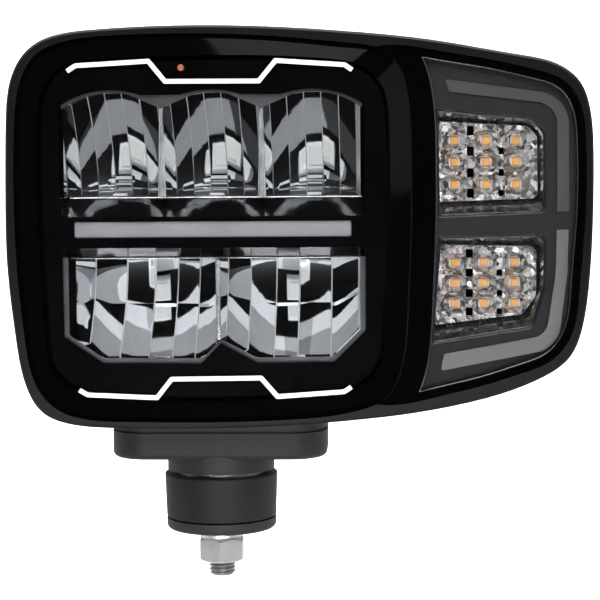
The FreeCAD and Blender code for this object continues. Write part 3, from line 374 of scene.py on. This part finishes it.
def painted_reflection_board_material(name, painted_reflection_rows, painted_reflection_areas, pitch, first_centre, light):
    """Lamp board that shows in the bowls: black, with light areas painted in front of every bowl as painted
    reflections for the bowls to mirror.
    """
    n = Nodes(name)
    bsdf = n.add("ShaderNodeBsdfPrincipled", Roughness=0.6)
    bsdf.inputs["Specular IOR Level"].default_value = 0.1
    axes = n.object_axes()
    along = n.add("ShaderNodeMapRange")
    along.inputs["From Min"].default_value = SHELF_FRONT * MM
    along.inputs["From Max"].default_value = 0.0
    n.link(axes["Y"], along.inputs["Value"])
    # painted reflections: light rows along the board's depth, for the chrome bowls to mirror
    painted_reflection_row = n.steps(along.outputs["Result"], [(1 - y / SHELF_FRONT, tone) for y, tone in painted_reflection_rows])
    start = n.add("ShaderNodeMapRange")
    start.inputs["From Min"].default_value = (first_centre - pitch / 2) * MM
    start.inputs["From Max"].default_value = (first_centre + pitch / 2) * MM
    start.clamp = False
    n.link(axes["X"], start.inputs["Value"])
    share = n.add("ShaderNodeMath", operation="FRACT")
    n.link(start.outputs["Result"], share.inputs[0])
    painted_reflection_area = n.steps(share.outputs["Value"], painted_reflection_areas)
    tone = n.add("ShaderNodeMath", operation="MULTIPLY")
    n.link(painted_reflection_row, tone.inputs[0])
    n.link(painted_reflection_area, tone.inputs[1])
    speckle = n.add("ShaderNodeMixRGB", blend_type="MULTIPLY")
    speckle.inputs["Fac"].default_value = 0.2
    # painted reflections: the board is black except where the light rows and areas are painted
    painted_reflection_colour = n.ramp(tone.outputs["Value"], [(0.0, grey(0.002)), (1.0, light)])
    n.link(painted_reflection_colour, speckle.inputs["Color1"])
    n.link(n.noise(400.0), speckle.inputs["Color2"])
    n.link(speckle.outputs["Color"], bsdf.inputs["Base Color"])
    n.link(n.bump(n.noise(700.0), 0.1, 0.0001), bsdf.inputs["Normal"])
    return n.surface(bsdf.outputs["BSDF"])


def led_material(name, phosphor, package):
    """LED package: coloured window in a pale body."""
    n = Nodes(name)
    bsdf = n.add("ShaderNodeBsdfPrincipled", Roughness=0.25)
    bsdf.inputs["Coat Weight"].default_value = 0.8
    n.link(n.ramp(n.noise(500.0), [(0.25, package), (0.6, phosphor)]), bsdf.inputs["Base Color"])
    return n.surface(bsdf.outputs["BSDF"])


def zinc_material(name, dark, light):
    """Bright zinc plating with soft brushing."""
    n = Nodes(name)
    bsdf = n.add("ShaderNodeBsdfPrincipled", Metallic=0.72)
    tones = [(0.3, (dark, dark, dark * 1.03)), (0.7, (light, light, light * 1.02))]
    n.link(n.ramp(n.noise(70.0, 5.0), tones), bsdf.inputs["Base Color"])
    n.link(n.spread(n.noise(200.0), 0.26, 0.4), bsdf.inputs["Roughness"])
    n.link(n.bump(n.noise(900.0, 4.0), 0.12, 0.0001), bsdf.inputs["Normal"])
    return n.surface(bsdf.outputs["BSDF"])


def build_materials():
    black_satin = plain("satin_black", (0.004, 0.004, 0.0042), 0.3, grain=2200, relief=0.10, shine=0.1)
    powder = plain("powder_coat", (0.018, 0.018, 0.0185), 0.50, grain=1500, relief=0.25, shine=0.25)
    rubber = plain("seal_rubber", (0.012, 0.012, 0.012), 0.7, grain=900, relief=0.2)
    zinc = zinc_material("zinc", 0.66, 0.85)
    chrome = chrome_material("reflector_chrome")
    glossy = plain("gloss_black", (0.0008, 0.0008, 0.001), 0.06, grain=60, relief=0.02, shine=0.1)
    lens = clear("lens_clear", (0.97, 0.975, 0.98), gloss=0.15)
    # indicator optics with painted glints
    crystal = glint_painted_crystal_material("cut_crystal_painted_glints")
    recess = plain("recess_gloss", (0.012, 0.012, 0.013), 0.12, grain=80, relief=0.03, coat=0.6)
    white_board = board_material("led_board", (0.88, 0.88, 0.89), (0.6, 0.58, 0.52))
    green_board = board_material("driver_board", (0.02, 0.13, 0.05), (0.5, 0.45, 0.3))
    white_led = led_material("white_led", (0.85, 0.84, 0.78), (0.85, 0.85, 0.84))
    amber_led = led_material("amber_led", (0.68, 0.31, 0.07), (0.6, 0.32, 0.12))
    alloy = plain("alloy", (0.72, 0.73, 0.75), 0.35, metal=1.0, grain=400, relief=0.1)
    plastic = plain("black_plastic", (0.02, 0.02, 0.021), 0.5, grain=1200, relief=0.2)
    return {
        "base_cap": powder,
        "foot_block": powder,
        "foot_plate": powder,
        "rear_housing": powder,
        "cooling_fins": plain("black_anodised", (0.02, 0.02, 0.021), 0.38, metal=0.6, grain=1800,
                              relief=0.15),
        "cooling_fin_screws": zinc,
        "front_frame": black_satin,
        "swivel_collar": collar_material(),
        # painted shade: the stud gets a darker copy of the nut's zinc, 0.2 to 0.38 against 0.66 to 0.85
        "stud_bolt": zinc_material("thread_zinc_painted_shade", 0.2, 0.38), "hex_nut": zinc, "spring_washer": zinc,
        "ball_post": alloy, "socket_ring": alloy, "socket_ring_screws": zinc,
        "foot_screws": plain("black_screw", (0.1, 0.1, 0.1), 0.35, metal=1.0),
        "mask_studs": zinc, "connector_screws": zinc, "friction_washer": plastic,
        "foot_gasket": rubber, "main_lens_seal": rubber, "wing_lens_seal": rubber,
        "vent_plug": plastic, "connector_socket": plastic,
        "connector_pins": plain("gold_pin", (0.83, 0.65, 0.32), 0.25, metal=1.0),
        "main_lens": lens, "wing_lens": lens,
        "main_lens_border": glossy, "wing_lens_border": glossy,
        "top_stripe": plain("white_inlay", (0.68, 0.69, 0.71), 0.3, vary=0.05),
        "bottom_stripe": plain("white_inlay_low", (0.72, 0.73, 0.75), 0.3, vary=0.05),
        "status_lens": plain("orange_pipe", (0.26, 0.075, 0.035), 0.3, coat=0.3),
        "inner_mask": mask_material(),
        "light_bar": plain("milky_bar", (0.205, 0.20, 0.21), 0.32, vary=0.07, cloud=45.0, coat=0.2),
        "light_bar_board": white_board, "light_bar_leds": white_led,
        "upper_reflector": chrome, "lower_reflector": chrome,
        # both lamp boards carry painted reflections for the chrome bowls
        "upper_led_board": painted_reflection_board_material("upper_lamp_board_painted_reflections", UPPER_PAINTED_REFLECTION_BANDS, UPPER_PAINTED_REFLECTION_PATCHES, UPPER_PITCH,
                                               UPPER_CENTRES[0], (0.95, 0.95, 0.97)),
        "lower_led_board": painted_reflection_board_material("lower_lamp_board_painted_reflections", LOWER_PAINTED_REFLECTION_BANDS, LOWER_PAINTED_REFLECTION_PATCHES, LOWER_PITCH,
                                               LOWER_CENTRES[0], (0.97, 0.97, 0.98)),
        "upper_leds": white_led, "lower_leds": white_led,
        "led_heat_sink": alloy, "driver_board": green_board,
        "driver_parts": plain("parts_black", (0.03, 0.03, 0.03), 0.4),
        "wing_bezel": plain("bezel_charcoal", (0.009, 0.009, 0.0105), 0.42, grain=3000, relief=0.5,
                            depth=0.0003, shine=0.22),
        "upper_light_guide": guide_material("upper_guide", 0.045),
        "lower_light_guide": guide_material("lower_guide", 0.095),
        "upper_indicator_recess": recess, "lower_indicator_recess": recess,
        "upper_indicator_optic": crystal, "lower_indicator_optic": crystal,
        "upper_indicator_board": white_board, "lower_indicator_board": white_board,
        "upper_indicator_leds": amber_led, "lower_indicator_leds": amber_led,
        "position_led_board": plastic, "position_leds": white_led,
    }


MATERIALS = build_materials()
for node, material in MATERIALS.items():
    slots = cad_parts[node].data.materials
    slots.clear()
    slots.append(material)


# ---- mesh helpers -------------------------------------------------------

def mesh_piece(name, verts, faces, material, body, instead=(), smooth=True, sharp=40, closed=False):
    """Make a mesh from millimetre points and hang it on a body."""
    data = bpy.data.meshes.new(name)
    data.from_pydata([tuple(c * MM for c in v) for v in verts], [], faces)
    if closed:
        bm = bmesh.new()
        bm.from_mesh(data)
        bmesh.ops.recalc_face_normals(bm, faces=bm.faces)
        bm.to_mesh(data)
        bm.free()
    data.update()
    piece = bpy.data.objects.new(name, data)
    bpy.context.scene.collection.objects.link(piece)
    data.materials.append(material)
    if smooth:
        data.shade_smooth()
        data.set_sharp_from_angle(angle=math.radians(sharp))
    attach(piece, body)
    if instead:
        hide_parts(*instead)
    return piece


# ---- detailed pieces ----------------------------------------------------

def bowl_depth(across, t):
    """Depth of the parabola behind the window at a place across and t of the way up the bowl."""
    return REFLECTOR_DEPTH * (1 - SIDE_FALL * across ** 2) * (1 - CLOSING * t ** CURL)


def column_steps(seams):
    """(place across, column, share of the column, seam) over every column of a bowl."""
    steps = []
    for i, (before, after) in enumerate(zip(seams, seams[1:])):
        for share in COLUMN_SHARES:
            steps.append((before + (after - before) * share, i, share, share in (0.0, 1.0)))
    return steps


def facet_y(t, step, share, ends, lean, flute, seam):
    """Place of a facet's point in depth: between its seams, tilted, hollowed and fluted."""
    before, after = bowl_depth(ends[0], t), bowl_depth(ends[1], t)
    y = BOWL_START + before * (1 - share) + after * share - lean * (step - 0.5)
    y += PILLOW * 4 * share * (1 - share) - (RIDGE if seam else 0.0)
    return y + flute * (1 if round(share * 10) % 2 else -1) * (0 < share < 1)


def bowl(verts, faces, bright, centre, half, floor_z, top_z, tiers, leans, seams, flutes):
    """Faceted bowl from the lamp board at floor_z out to the rim at top_z(x), in tiers of leaning columns."""
    far = REFLECTOR_FAR_UP if top_z(centre) > floor_z else REFLECTOR_FAR_DOWN
    start = len(verts)
    columns = [(-1.0, None, 0, False)] + column_steps(seams) + [(1.0, None, 0, False)]
    levels = [(tier, r / BOWL_ROWS) for tier in range(len(leans)) for r in range(BOWL_ROWS + 1)]
    for across, column, share, seam in columns:
        x = centre + half * across
        for tier, step in levels:
            low_end, high_end = tiers[tier], tiers[tier + 1]
            rise = low_end + (high_end - low_end) * step
            z = floor_z + (top_z(x) - floor_z) * rise
            y = EDGE_Y
            if column is not None:
                lean = leans[tier][column] * abs(top_z(x) - floor_z) * (high_end - low_end)
                y = facet_y((z - floor_z) / (far - floor_z), step, share, seams[column:column + 2],
                            lean, flutes[column], seam)
            verts.append((x, y, z))
    height = len(levels)
    for c in range(len(columns) - 1):
        on_seam = columns[c][3] != columns[c + 1][3] and columns[c][1] is not None
        for r in range(height - 1):
            a = start + c * height + r
            quad = (a, a + height, a + height + 1, a + 1)
            if on_seam or levels[r][0] != levels[r + 1][0]:
                bright.add(len(faces))
            faces.append(quad if far > floor_z else quad[::-1])


def strip_between(verts, faces, inner, outer, y):
    """Flat strip between two rows of points, facing the front."""
    start = len(verts)
    for (xa, za), (xb, zb) in zip(inner, outer):
        verts += [(xa, y, za), (xb, y, zb)]
    out_x, out_z = outer[0][0] - inner[0][0], outer[0][1] - inner[0][1]
    on_x, on_z = inner[1][0] - inner[0][0], inner[1][1] - inner[0][1]
    backwards = out_z * on_x - out_x * on_z > 0
    for i in range(len(inner) - 1):
        quad = (start + 2 * i, start + 2 * i + 1, start + 2 * i + 3, start + 2 * i + 2)
        faces.append(quad[::-1] if backwards else quad)


def arch_height(x, centre):
    """Height of the arch over one bowl: a circle through its two ends and its top."""
    half = UPPER_HALF + ARCH_OVERHANG
    radius = (half * half + ARCH_RISE * ARCH_RISE) / (2 * ARCH_RISE)
    return ARCH_TOP - radius + math.sqrt(max(0.0, radius * radius - (x - centre) ** 2))


def arch_points(centre):
    across = [centre + (UPPER_HALF + RIM_OVERHANG) * (i / 16 - 1) for i in range(33)]
    return [(x, arch_height(x, centre)) for x in across]


def divider(verts, faces, x, foot, head, z0, z1):
    """Rounded front edge of the wall between two bowls, foot and head being its widths at its ends."""
    start = len(verts)
    steps = 8
    for i in range(steps + 1):
        angle = math.pi * i / steps
        across, forward = -math.cos(angle) / 2, math.sin(angle) / 4
        verts += [(x + across * foot, RIDGE_BACK - forward * foot, z0),
                  (x + across * head, RIDGE_BACK - forward * head, z1)]
    for i in range(steps):
        a = start + 2 * i
        faces.append((a, a + 2, a + 3, a + 1))


def upper_bowls(chrome, satin):
    """Three bowls above the upper lamp board, and the wall over their arches."""
    verts, faces, bright = [], [], set()
    for centre in UPPER_CENTRES:
        bowl(verts, faces, bright, centre, UPPER_HALF, UPPER_FLOOR, lambda x: arch_height(x, centre),
             UPPER_TIERS, UPPER_LEAN, UPPER_SEAMS, UPPER_FLUTES)
        arch = arch_points(centre)
        ceiling = len(verts)
        for x, z in arch:
            verts += [(x, EDGE_Y, z), (x, ARCH_WALL_BACK, z)]
        for i in range(len(arch) - 1):
            a = ceiling + 2 * i
            faces.append((a, a + 2, a + 3, a + 1))
    return two_tone("upper_reflector_bowls", verts, faces, bright, chrome, satin, "upper_reflector")


def two_tone(name, verts, faces, bright, chrome, satin, node):
    """Metallised bowls in place of a node, with satin seams."""
    piece = mesh_piece(name, verts, faces, chrome, "head", (node,), sharp=6)
    piece.data.materials.append(satin)
    for index in bright:
        piece.data.polygons[index].material_index = 1
    return piece


def upper_trim(satin, bright):
    """Rim along the arches, the fillers above the cusps and the ridges between the bowls."""
    verts, faces = [], []
    for centre in UPPER_CENTRES:
        arch = arch_points(centre)
        strip_between(verts, faces, arch, [(x, z + RIM_WIDTH) for x, z in arch], EDGE_Y)
    half, ends, cusp, top = CUSP_FILLER
    for a, b in zip(UPPER_CENTRES, UPPER_CENTRES[1:]):
        x = (a + b) / 2
        edge = [(x - half, ends), (x, cusp), (x + half, ends)]
        strip_between(verts, faces, edge, [(px, top) for px, pz in edge], EDGE_Y + 0.05)
    mesh_piece("upper_rim", verts, faces, satin, "head")
    verts, faces = [], []
    for a, b in zip(UPPER_CENTRES, UPPER_CENTRES[1:]):
        divider(verts, faces, (a + b) / 2, *UPPER_RIDGE)
    mesh_piece("upper_ridges", verts, faces, bright, "head")


def bay_height(x):
    """Lower edge of the two-bay window at x."""
    for (xa, za), (xb, zb) in zip(BAY_CORNERS, BAY_CORNERS[1:]):
        if x <= xb:
            return za + (zb - za) * (x - xa) / (xb - xa)
    return BAY_CORNERS[-1][1]


def lower_bowls(chrome, satin):
    """Two bowls below the lower lamp board, and the wall under their bays."""
    verts, faces, bright = [], [], set()
    for centre, seams, flutes in zip(LOWER_CENTRES, LOWER_SEAMS, LOWER_FLUTES):
        bowl(verts, faces, bright, centre, LOWER_HALF, LOWER_CEILING, bay_height, LOWER_TIERS, LOWER_LEAN,
             seams, flutes)
    rim = bay_rim()
    wall = len(verts)
    for x, z in rim:
        verts += [(x, EDGE_Y, z), (x, BAY_WALL_BACK, z)]
    for i in range(len(rim) - 1):
        a = wall + 2 * i
        faces.append((a, a + 1, a + 3, a + 2))
    return two_tone("lower_reflector_bowls", verts, faces, bright, chrome, satin, "lower_reflector")


def bay_rim():
    """Points along the lower edge of the two bays."""
    first, last = BAY_SPAN
    xs = [first + (last - first) * i / 60 for i in range(61)]
    return [(x, bay_height(x)) for x in xs]


def lower_trim(satin, bright):
    """Rim under and beside the two bays and the ridge between them."""
    verts, faces = [], []
    rim = bay_rim()
    strip_between(verts, faces, rim, [(x, z - BAY_RIM_WIDTH) for x, z in rim], EDGE_Y)
    for side, x in zip((-1, 1), BAY_SPAN):
        outer_x = x + side * BAY_RIM_WIDTH
        strip_between(verts, faces, [(x, z) for z in BAY_SIDE], [(outer_x, z) for z in BAY_SIDE], EDGE_Y)
    mesh_piece("lower_rim", verts, faces, satin, "head")
    verts, faces = [], []
    middle = (LOWER_CENTRES[0] + LOWER_CENTRES[1]) / 2
    divider(verts, faces, middle, *LOWER_RIDGE)
    mesh_piece("lower_ridge", verts, faces, bright, "head")


def sill_bead(name, z, radius, material):
    """Bright edge of the lamp board's shelf."""
    verts, faces = [], []
    start, end = SILL_SPAN
    steps = 6
    for i in range(steps + 1):
        angle = math.pi * i / steps
        y = SHELF_FRONT - SILL_OVERHANG - radius * math.sin(angle)
        verts += [(start, y, z - radius * math.cos(angle)), (end, y, z - radius * math.cos(angle))]
    for i in range(steps):
        a = 2 * i
        faces.append((a, a + 1, a + 3, a + 2))
    mesh_piece(name, verts, faces, material, "head")


def threaded_stud(material):
    """Stud with a rolled M12 thread, its end chamfered."""
    verts, faces = [], []
    around, per_turn = 48, 10
    rows = int((STUD_TOP - STUD_END) / STUD_PITCH * per_turn)
    for r in range(rows + 1):
        z = STUD_END + STUD_PITCH * r / per_turn
        for a in range(around):
            phase = (z / STUD_PITCH - a / around) % 1.0
            crest = min(1.0, max(0.0, 1.25 - 2.5 * abs(phase - 0.5) * 1.15))
            radius = STUD_R - THREAD_DEPTH * (1 - crest)
            radius = min(radius, STUD_R - STUD_CHAMFER + (z - STUD_END))
            angle = 2 * math.pi * a / around
            verts.append((radius * math.cos(angle), radius * math.sin(angle), z))
    for r in range(rows):
        for a in range(around):
            b = (a + 1) % around
            faces.append((r * around + a, r * around + b, (r + 1) * around + b, (r + 1) * around + a))
    faces.append(tuple(range(around))[::-1])
    faces.append(tuple(rows * around + a for a in range(around)))
    return mesh_piece("threaded_stud", verts, faces, material, "base", ("stud_bolt",), sharp=50, closed=True)


def lamp_packages(name, node, body_material, window_material, axis, body="head"):
    """Square packages with a bevelled body and a raised window, one on each solid of the node."""
    verts, faces, slots = [], [], []
    for low_corner, high_corner in solid_boxes(node):
        centre = (low_corner + high_corner) / 2
        half = (high_corner - low_corner) / 2
        flat = [i for i in range(3) if i != abs(axis) - 1]
        up = abs(axis) - 1
        sign = 1 if axis > 0 else -1
        rings = [(1.0, -1.0), (1.0, 0.35), (0.88, 0.75), (0.74, 0.75), (0.66, 1.0)]
        start = len(verts)
        for scale, height in rings:
            for su, sv in ((-1, -1), (1, -1), (1, 1), (-1, 1)):
                point = [0.0, 0.0, 0.0]
                point[flat[0]] = centre[flat[0]] + su * half[flat[0]] * scale
                point[flat[1]] = centre[flat[1]] + sv * half[flat[1]] * scale
                point[up] = centre[up] + sign * height * half[up]
                verts.append(point)
        for ring in range(len(rings) - 1):
            for i in range(4):
                j = (i + 1) % 4
                a = start + 4 * ring
                faces.append((a + i, a + j, a + 4 + j, a + 4 + i))
                slots.append(1 if ring == 3 else 0)
        top = start + 4 * (len(rings) - 1)
        faces.append((top, top + 1, top + 2, top + 3))
        slots.append(1)
    piece = mesh_piece(name, verts, faces, body_material, body, (node,), smooth=False)
    piece.data.materials.append(window_material)
    for polygon, index in zip(piece.data.polygons, slots):
        polygon.material_index = index
    return piece


def node_bmesh(node):
    """A copy of a node's mesh with its doubled points joined."""
    bm = bmesh.new()
    bm.from_mesh(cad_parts[node].data)
    bmesh.ops.remove_doubles(bm, verts=bm.verts, dist=1e-6)
    bm.normal_update()
    return bm


def solid_boxes(node):
    """Lowest and highest corner of every separate solid of a node, in millimetres."""
    bm = node_bmesh(node)
    left = set(bm.verts)
    boxes = []
    while left:
        stack = [left.pop()]
        points = []
        while stack:
            vert = stack.pop()
            points.append(vert.co.copy())
            for edge in vert.link_edges:
                other = edge.other_vert(vert)
                if other in left:
                    left.remove(other)
                    stack.append(other)
        boxes.append((Vector(min(p[i] for p in points) for i in range(3)) / MM,
                      Vector(max(p[i] for p in points) for i in range(3)) / MM))
    bm.free()
    return boxes


def front_loops(node, longest=8.0):
    """Closed loops of the edges where a node's front face turns into its sides."""
    bm = node_bmesh(node)
    rim = {}
    for edge in bm.edges:
        if len(edge.link_faces) != 2:
            continue
        front = sorted(f.normal.y for f in edge.link_faces)
        if front[0] < -0.8 and front[1] > -0.55:
            for vert in edge.verts:
                rim.setdefault(vert.index, []).append(edge)
    loops, used = [], set()
    for first in list(rim):
        for edge in rim[first]:
            if edge.index in used:
                continue
            path = []
            vert = bm_vert(edge, first)
            while edge is not None and edge.index not in used:
                used.add(edge.index)
                path.append(vert.co.copy())
                vert = edge.other_vert(vert)
                edge = next((e for e in rim[vert.index] if e.index not in used), None)
            if sum((a - b).length for a, b in zip(path, path[1:])) > longest * MM:
                loops.append(path)
    bm.free()
    return loops


def bm_vert(edge, index):
    """The edge's vertex that has this index."""
    return edge.verts[0] if edge.verts[0].index == index else edge.verts[1]


def edge_bead(name, node, radius, material, shift=0.0, body="head"):
    """Small moulded radius along the front edges of a node, which catches the light."""
    data = bpy.data.curves.new(name, "CURVE")
    data.dimensions = "3D"
    data.bevel_depth = radius * MM
    data.bevel_resolution = 2
    for path in front_loops(node):
        spline = data.splines.new("POLY")
        spline.points.add(len(path) - 1)
        for point, place in zip(spline.points, path):
            point.co = (place.x, place.y + shift * MM, place.z, 1.0)
        spline.use_cyclic_u = True
    piece = bpy.data.objects.new(name, data)
    bpy.context.scene.collection.objects.link(piece)
    data.materials.append(material)
    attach(piece, body)
    return piece


def build_details():
    chrome = MATERIALS["upper_reflector"]
    seam = plain("seam_satin", (0.85, 0.86, 0.88), 0.3, metal=0.7)
    rim = plain("rim_satin", (0.045, 0.045, 0.047), 0.3, metal=0.2, vary=0.3, cloud=60)
    bright = plain("ridge_bright", (0.62, 0.63, 0.65), 0.22, metal=0.75, vary=0.4, cloud=90)
    upper_bowls(chrome, seam)
    upper_trim(rim, bright)
    lower_bowls(chrome, seam)
    lower_trim(rim, bright)
    sill_bead("upper_sill", 148.9, 0.3, bright)
    sill_bead("lower_sill", 123.1, 0.25, bright)
    threaded_stud(MATERIALS["stud_bolt"])
    cream = plain("package_body", (0.84, 0.84, 0.83), 0.35)
    amber = MATERIALS["upper_indicator_leds"]
    rust = plain("amber_package", (0.62, 0.36, 0.16), 0.35)
    lamp_packages("upper_packages", "upper_leds", cream, MATERIALS["upper_leds"], 3)
    lamp_packages("lower_packages", "lower_leds", cream, MATERIALS["lower_leds"], -3)
    lamp_packages("upper_amber_packages", "upper_indicator_leds", rust, amber, -2)
    lamp_packages("lower_amber_packages", "lower_indicator_leds", rust, amber, -2)
    gloss = plain("edge_gloss", (0.02, 0.02, 0.021), 0.1, grain=60, relief=0.02, shine=0.9)
    edge_bead("wing_lens_edge", "wing_lens", 0.35, gloss, shift=0.1)
    edge_bead("upper_recess_edge", "upper_indicator_recess", 0.3, gloss, shift=0.1)
    edge_bead("lower_recess_edge", "lower_indicator_recess", 0.3, gloss, shift=0.1)


build_details()


# ---- stage --------------------------------------------------------------

def aim_basis():
    """Right, up and ahead of the camera."""
    yaw, rise, roll = (math.radians(a) for a in (CAMERA_YAW, CAMERA_RISE, CAMERA_ROLL))
    ahead = Vector((-math.sin(yaw) * math.cos(rise), math.cos(yaw) * math.cos(rise), -math.sin(rise)))
    right = Vector((math.cos(yaw), math.sin(yaw), 0))
    up = right.cross(ahead)
    rolled_right = right * math.cos(roll) - up * math.sin(roll)
    rolled_up = up * math.cos(roll) + right * math.sin(roll)
    return rolled_right, rolled_up, ahead


def add_camera():
    right, up, ahead = aim_basis()
    data = bpy.data.cameras.new("camera")
    data.lens = CAMERA_LENS
    data.sensor_width = 36.0
    data.clip_start = 0.05
    data.clip_end = 50
    camera = bpy.data.objects.new("camera", data)
    turn = Matrix((right, up, -ahead)).transposed()
    camera.matrix_world = Matrix.Translation(CAMERA_AT) @ turn.to_4x4()
    bpy.context.scene.collection.objects.link(camera)
    bpy.context.scene.camera = camera


def add_area(name, at, target, width, height, power):
    data = bpy.data.lights.new(name, "AREA")
    data.shape = "RECTANGLE"
    data.size = width
    data.size_y = height
    data.energy = power
    light = bpy.data.objects.new(name, data)
    light.location = at
    light.rotation_euler = (Vector(target) - Vector(at)).to_track_quat("-Z", "Y").to_euler()
    bpy.context.scene.collection.objects.link(light)


def add_floor():
    """Pale floor that curves up into a backdrop."""
    profile = [(FLOOR_FRONT, FLOOR_Z)]
    for i in range(ARC_STEPS + 1):
        angle = math.pi / 2 * i / ARC_STEPS
        profile.append((BACKDROP_Y + BACKDROP_RADIUS * math.sin(angle),
                        FLOOR_Z + BACKDROP_RADIUS * (1 - math.cos(angle))))
    profile.append((BACKDROP_Y + BACKDROP_RADIUS, STAGE_TOP))
    verts = [(x, y, z) for y, z in profile for x in (-FLOOR_HALF, FLOOR_HALF)]
    pale = plain("pale_floor", (0.93, 0.93, 0.93), 0.6, vary=0.01, cloud=2.0, relief=0.01)
    stage_piece("floor", verts, ladder(len(profile)), pale)
    return pale


def ladder(count):
    """Faces between the neighbours in a row of paired points."""
    return [(2 * i, 2 * i + 1, 2 * i + 3, 2 * i + 2) for i in range(count - 1)]


def stage_piece(name, verts, faces, material):
    """Part of the studio that the mirrors don't show."""
    data = bpy.data.meshes.new(name)
    data.from_pydata([tuple(c * MM for c in v) for v in verts], [], faces)
    data.materials.append(material)
    data.shade_smooth()
    piece = bpy.data.objects.new(name, data)
    piece.visible_glossy = False
    bpy.context.scene.collection.objects.link(piece)
    return piece


def add_walls(material):
    """Pale walls at the studio's front and sides, which neither light nor shade the part."""
    plan = [(-WALL_SIDE, WALL_BACK)]
    for centre, first in ((-WALL_SIDE + WALL_CORNER, math.pi), (WALL_SIDE - WALL_CORNER, 1.5 * math.pi)):
        for i in range(ARC_STEPS + 1):
            angle = first + math.pi / 2 * i / ARC_STEPS
            plan.append((centre + WALL_CORNER * math.cos(angle),
                         WALL_FRONT + WALL_CORNER + WALL_CORNER * math.sin(angle)))
    plan.append((WALL_SIDE, WALL_BACK))
    verts = [(x, y, z) for x, y in plan for z in (FLOOR_Z - 1.0, STAGE_TOP)]
    walls = stage_piece("walls", verts, ladder(len(plan)), material)
    walls.visible_diffuse = False
    walls.visible_shadow = False


def add_world():
    """Studio surround: white at the sides and the back, dark behind the viewer."""
    world = bpy.data.worlds.new("studio")
    bpy.context.scene.world = world
    world.use_nodes = True
    tree = world.node_tree
    background = tree.nodes["Background"]
    coord = tree.nodes.new("ShaderNodeTexCoord")
    split = tree.nodes.new("ShaderNodeSeparateXYZ")
    tree.links.new(coord.outputs["Generated"], split.inputs["Vector"])
    ramp = tree.nodes.new("ShaderNodeValToRGB")
    half = tree.nodes.new("ShaderNodeMapRange")
    half.inputs["From Min"].default_value = -1.0
    half.inputs["From Max"].default_value = 1.0
    tree.links.new(split.outputs["Y"], half.inputs["Value"])
    tree.links.new(half.outputs["Result"], ramp.inputs["Fac"])
    set_stops(ramp.color_ramp, [(position, grey(value)) for position, value in SURROUND])
    tree.links.new(ramp.outputs["Color"], background.inputs["Color"])
    background.inputs["Strength"].default_value = 0.9


add_camera()
add_walls(add_floor())
add_world()
for light in LIGHTS:
    add_area(*light)
bpy.context.scene.view_settings.view_transform = "Standard"
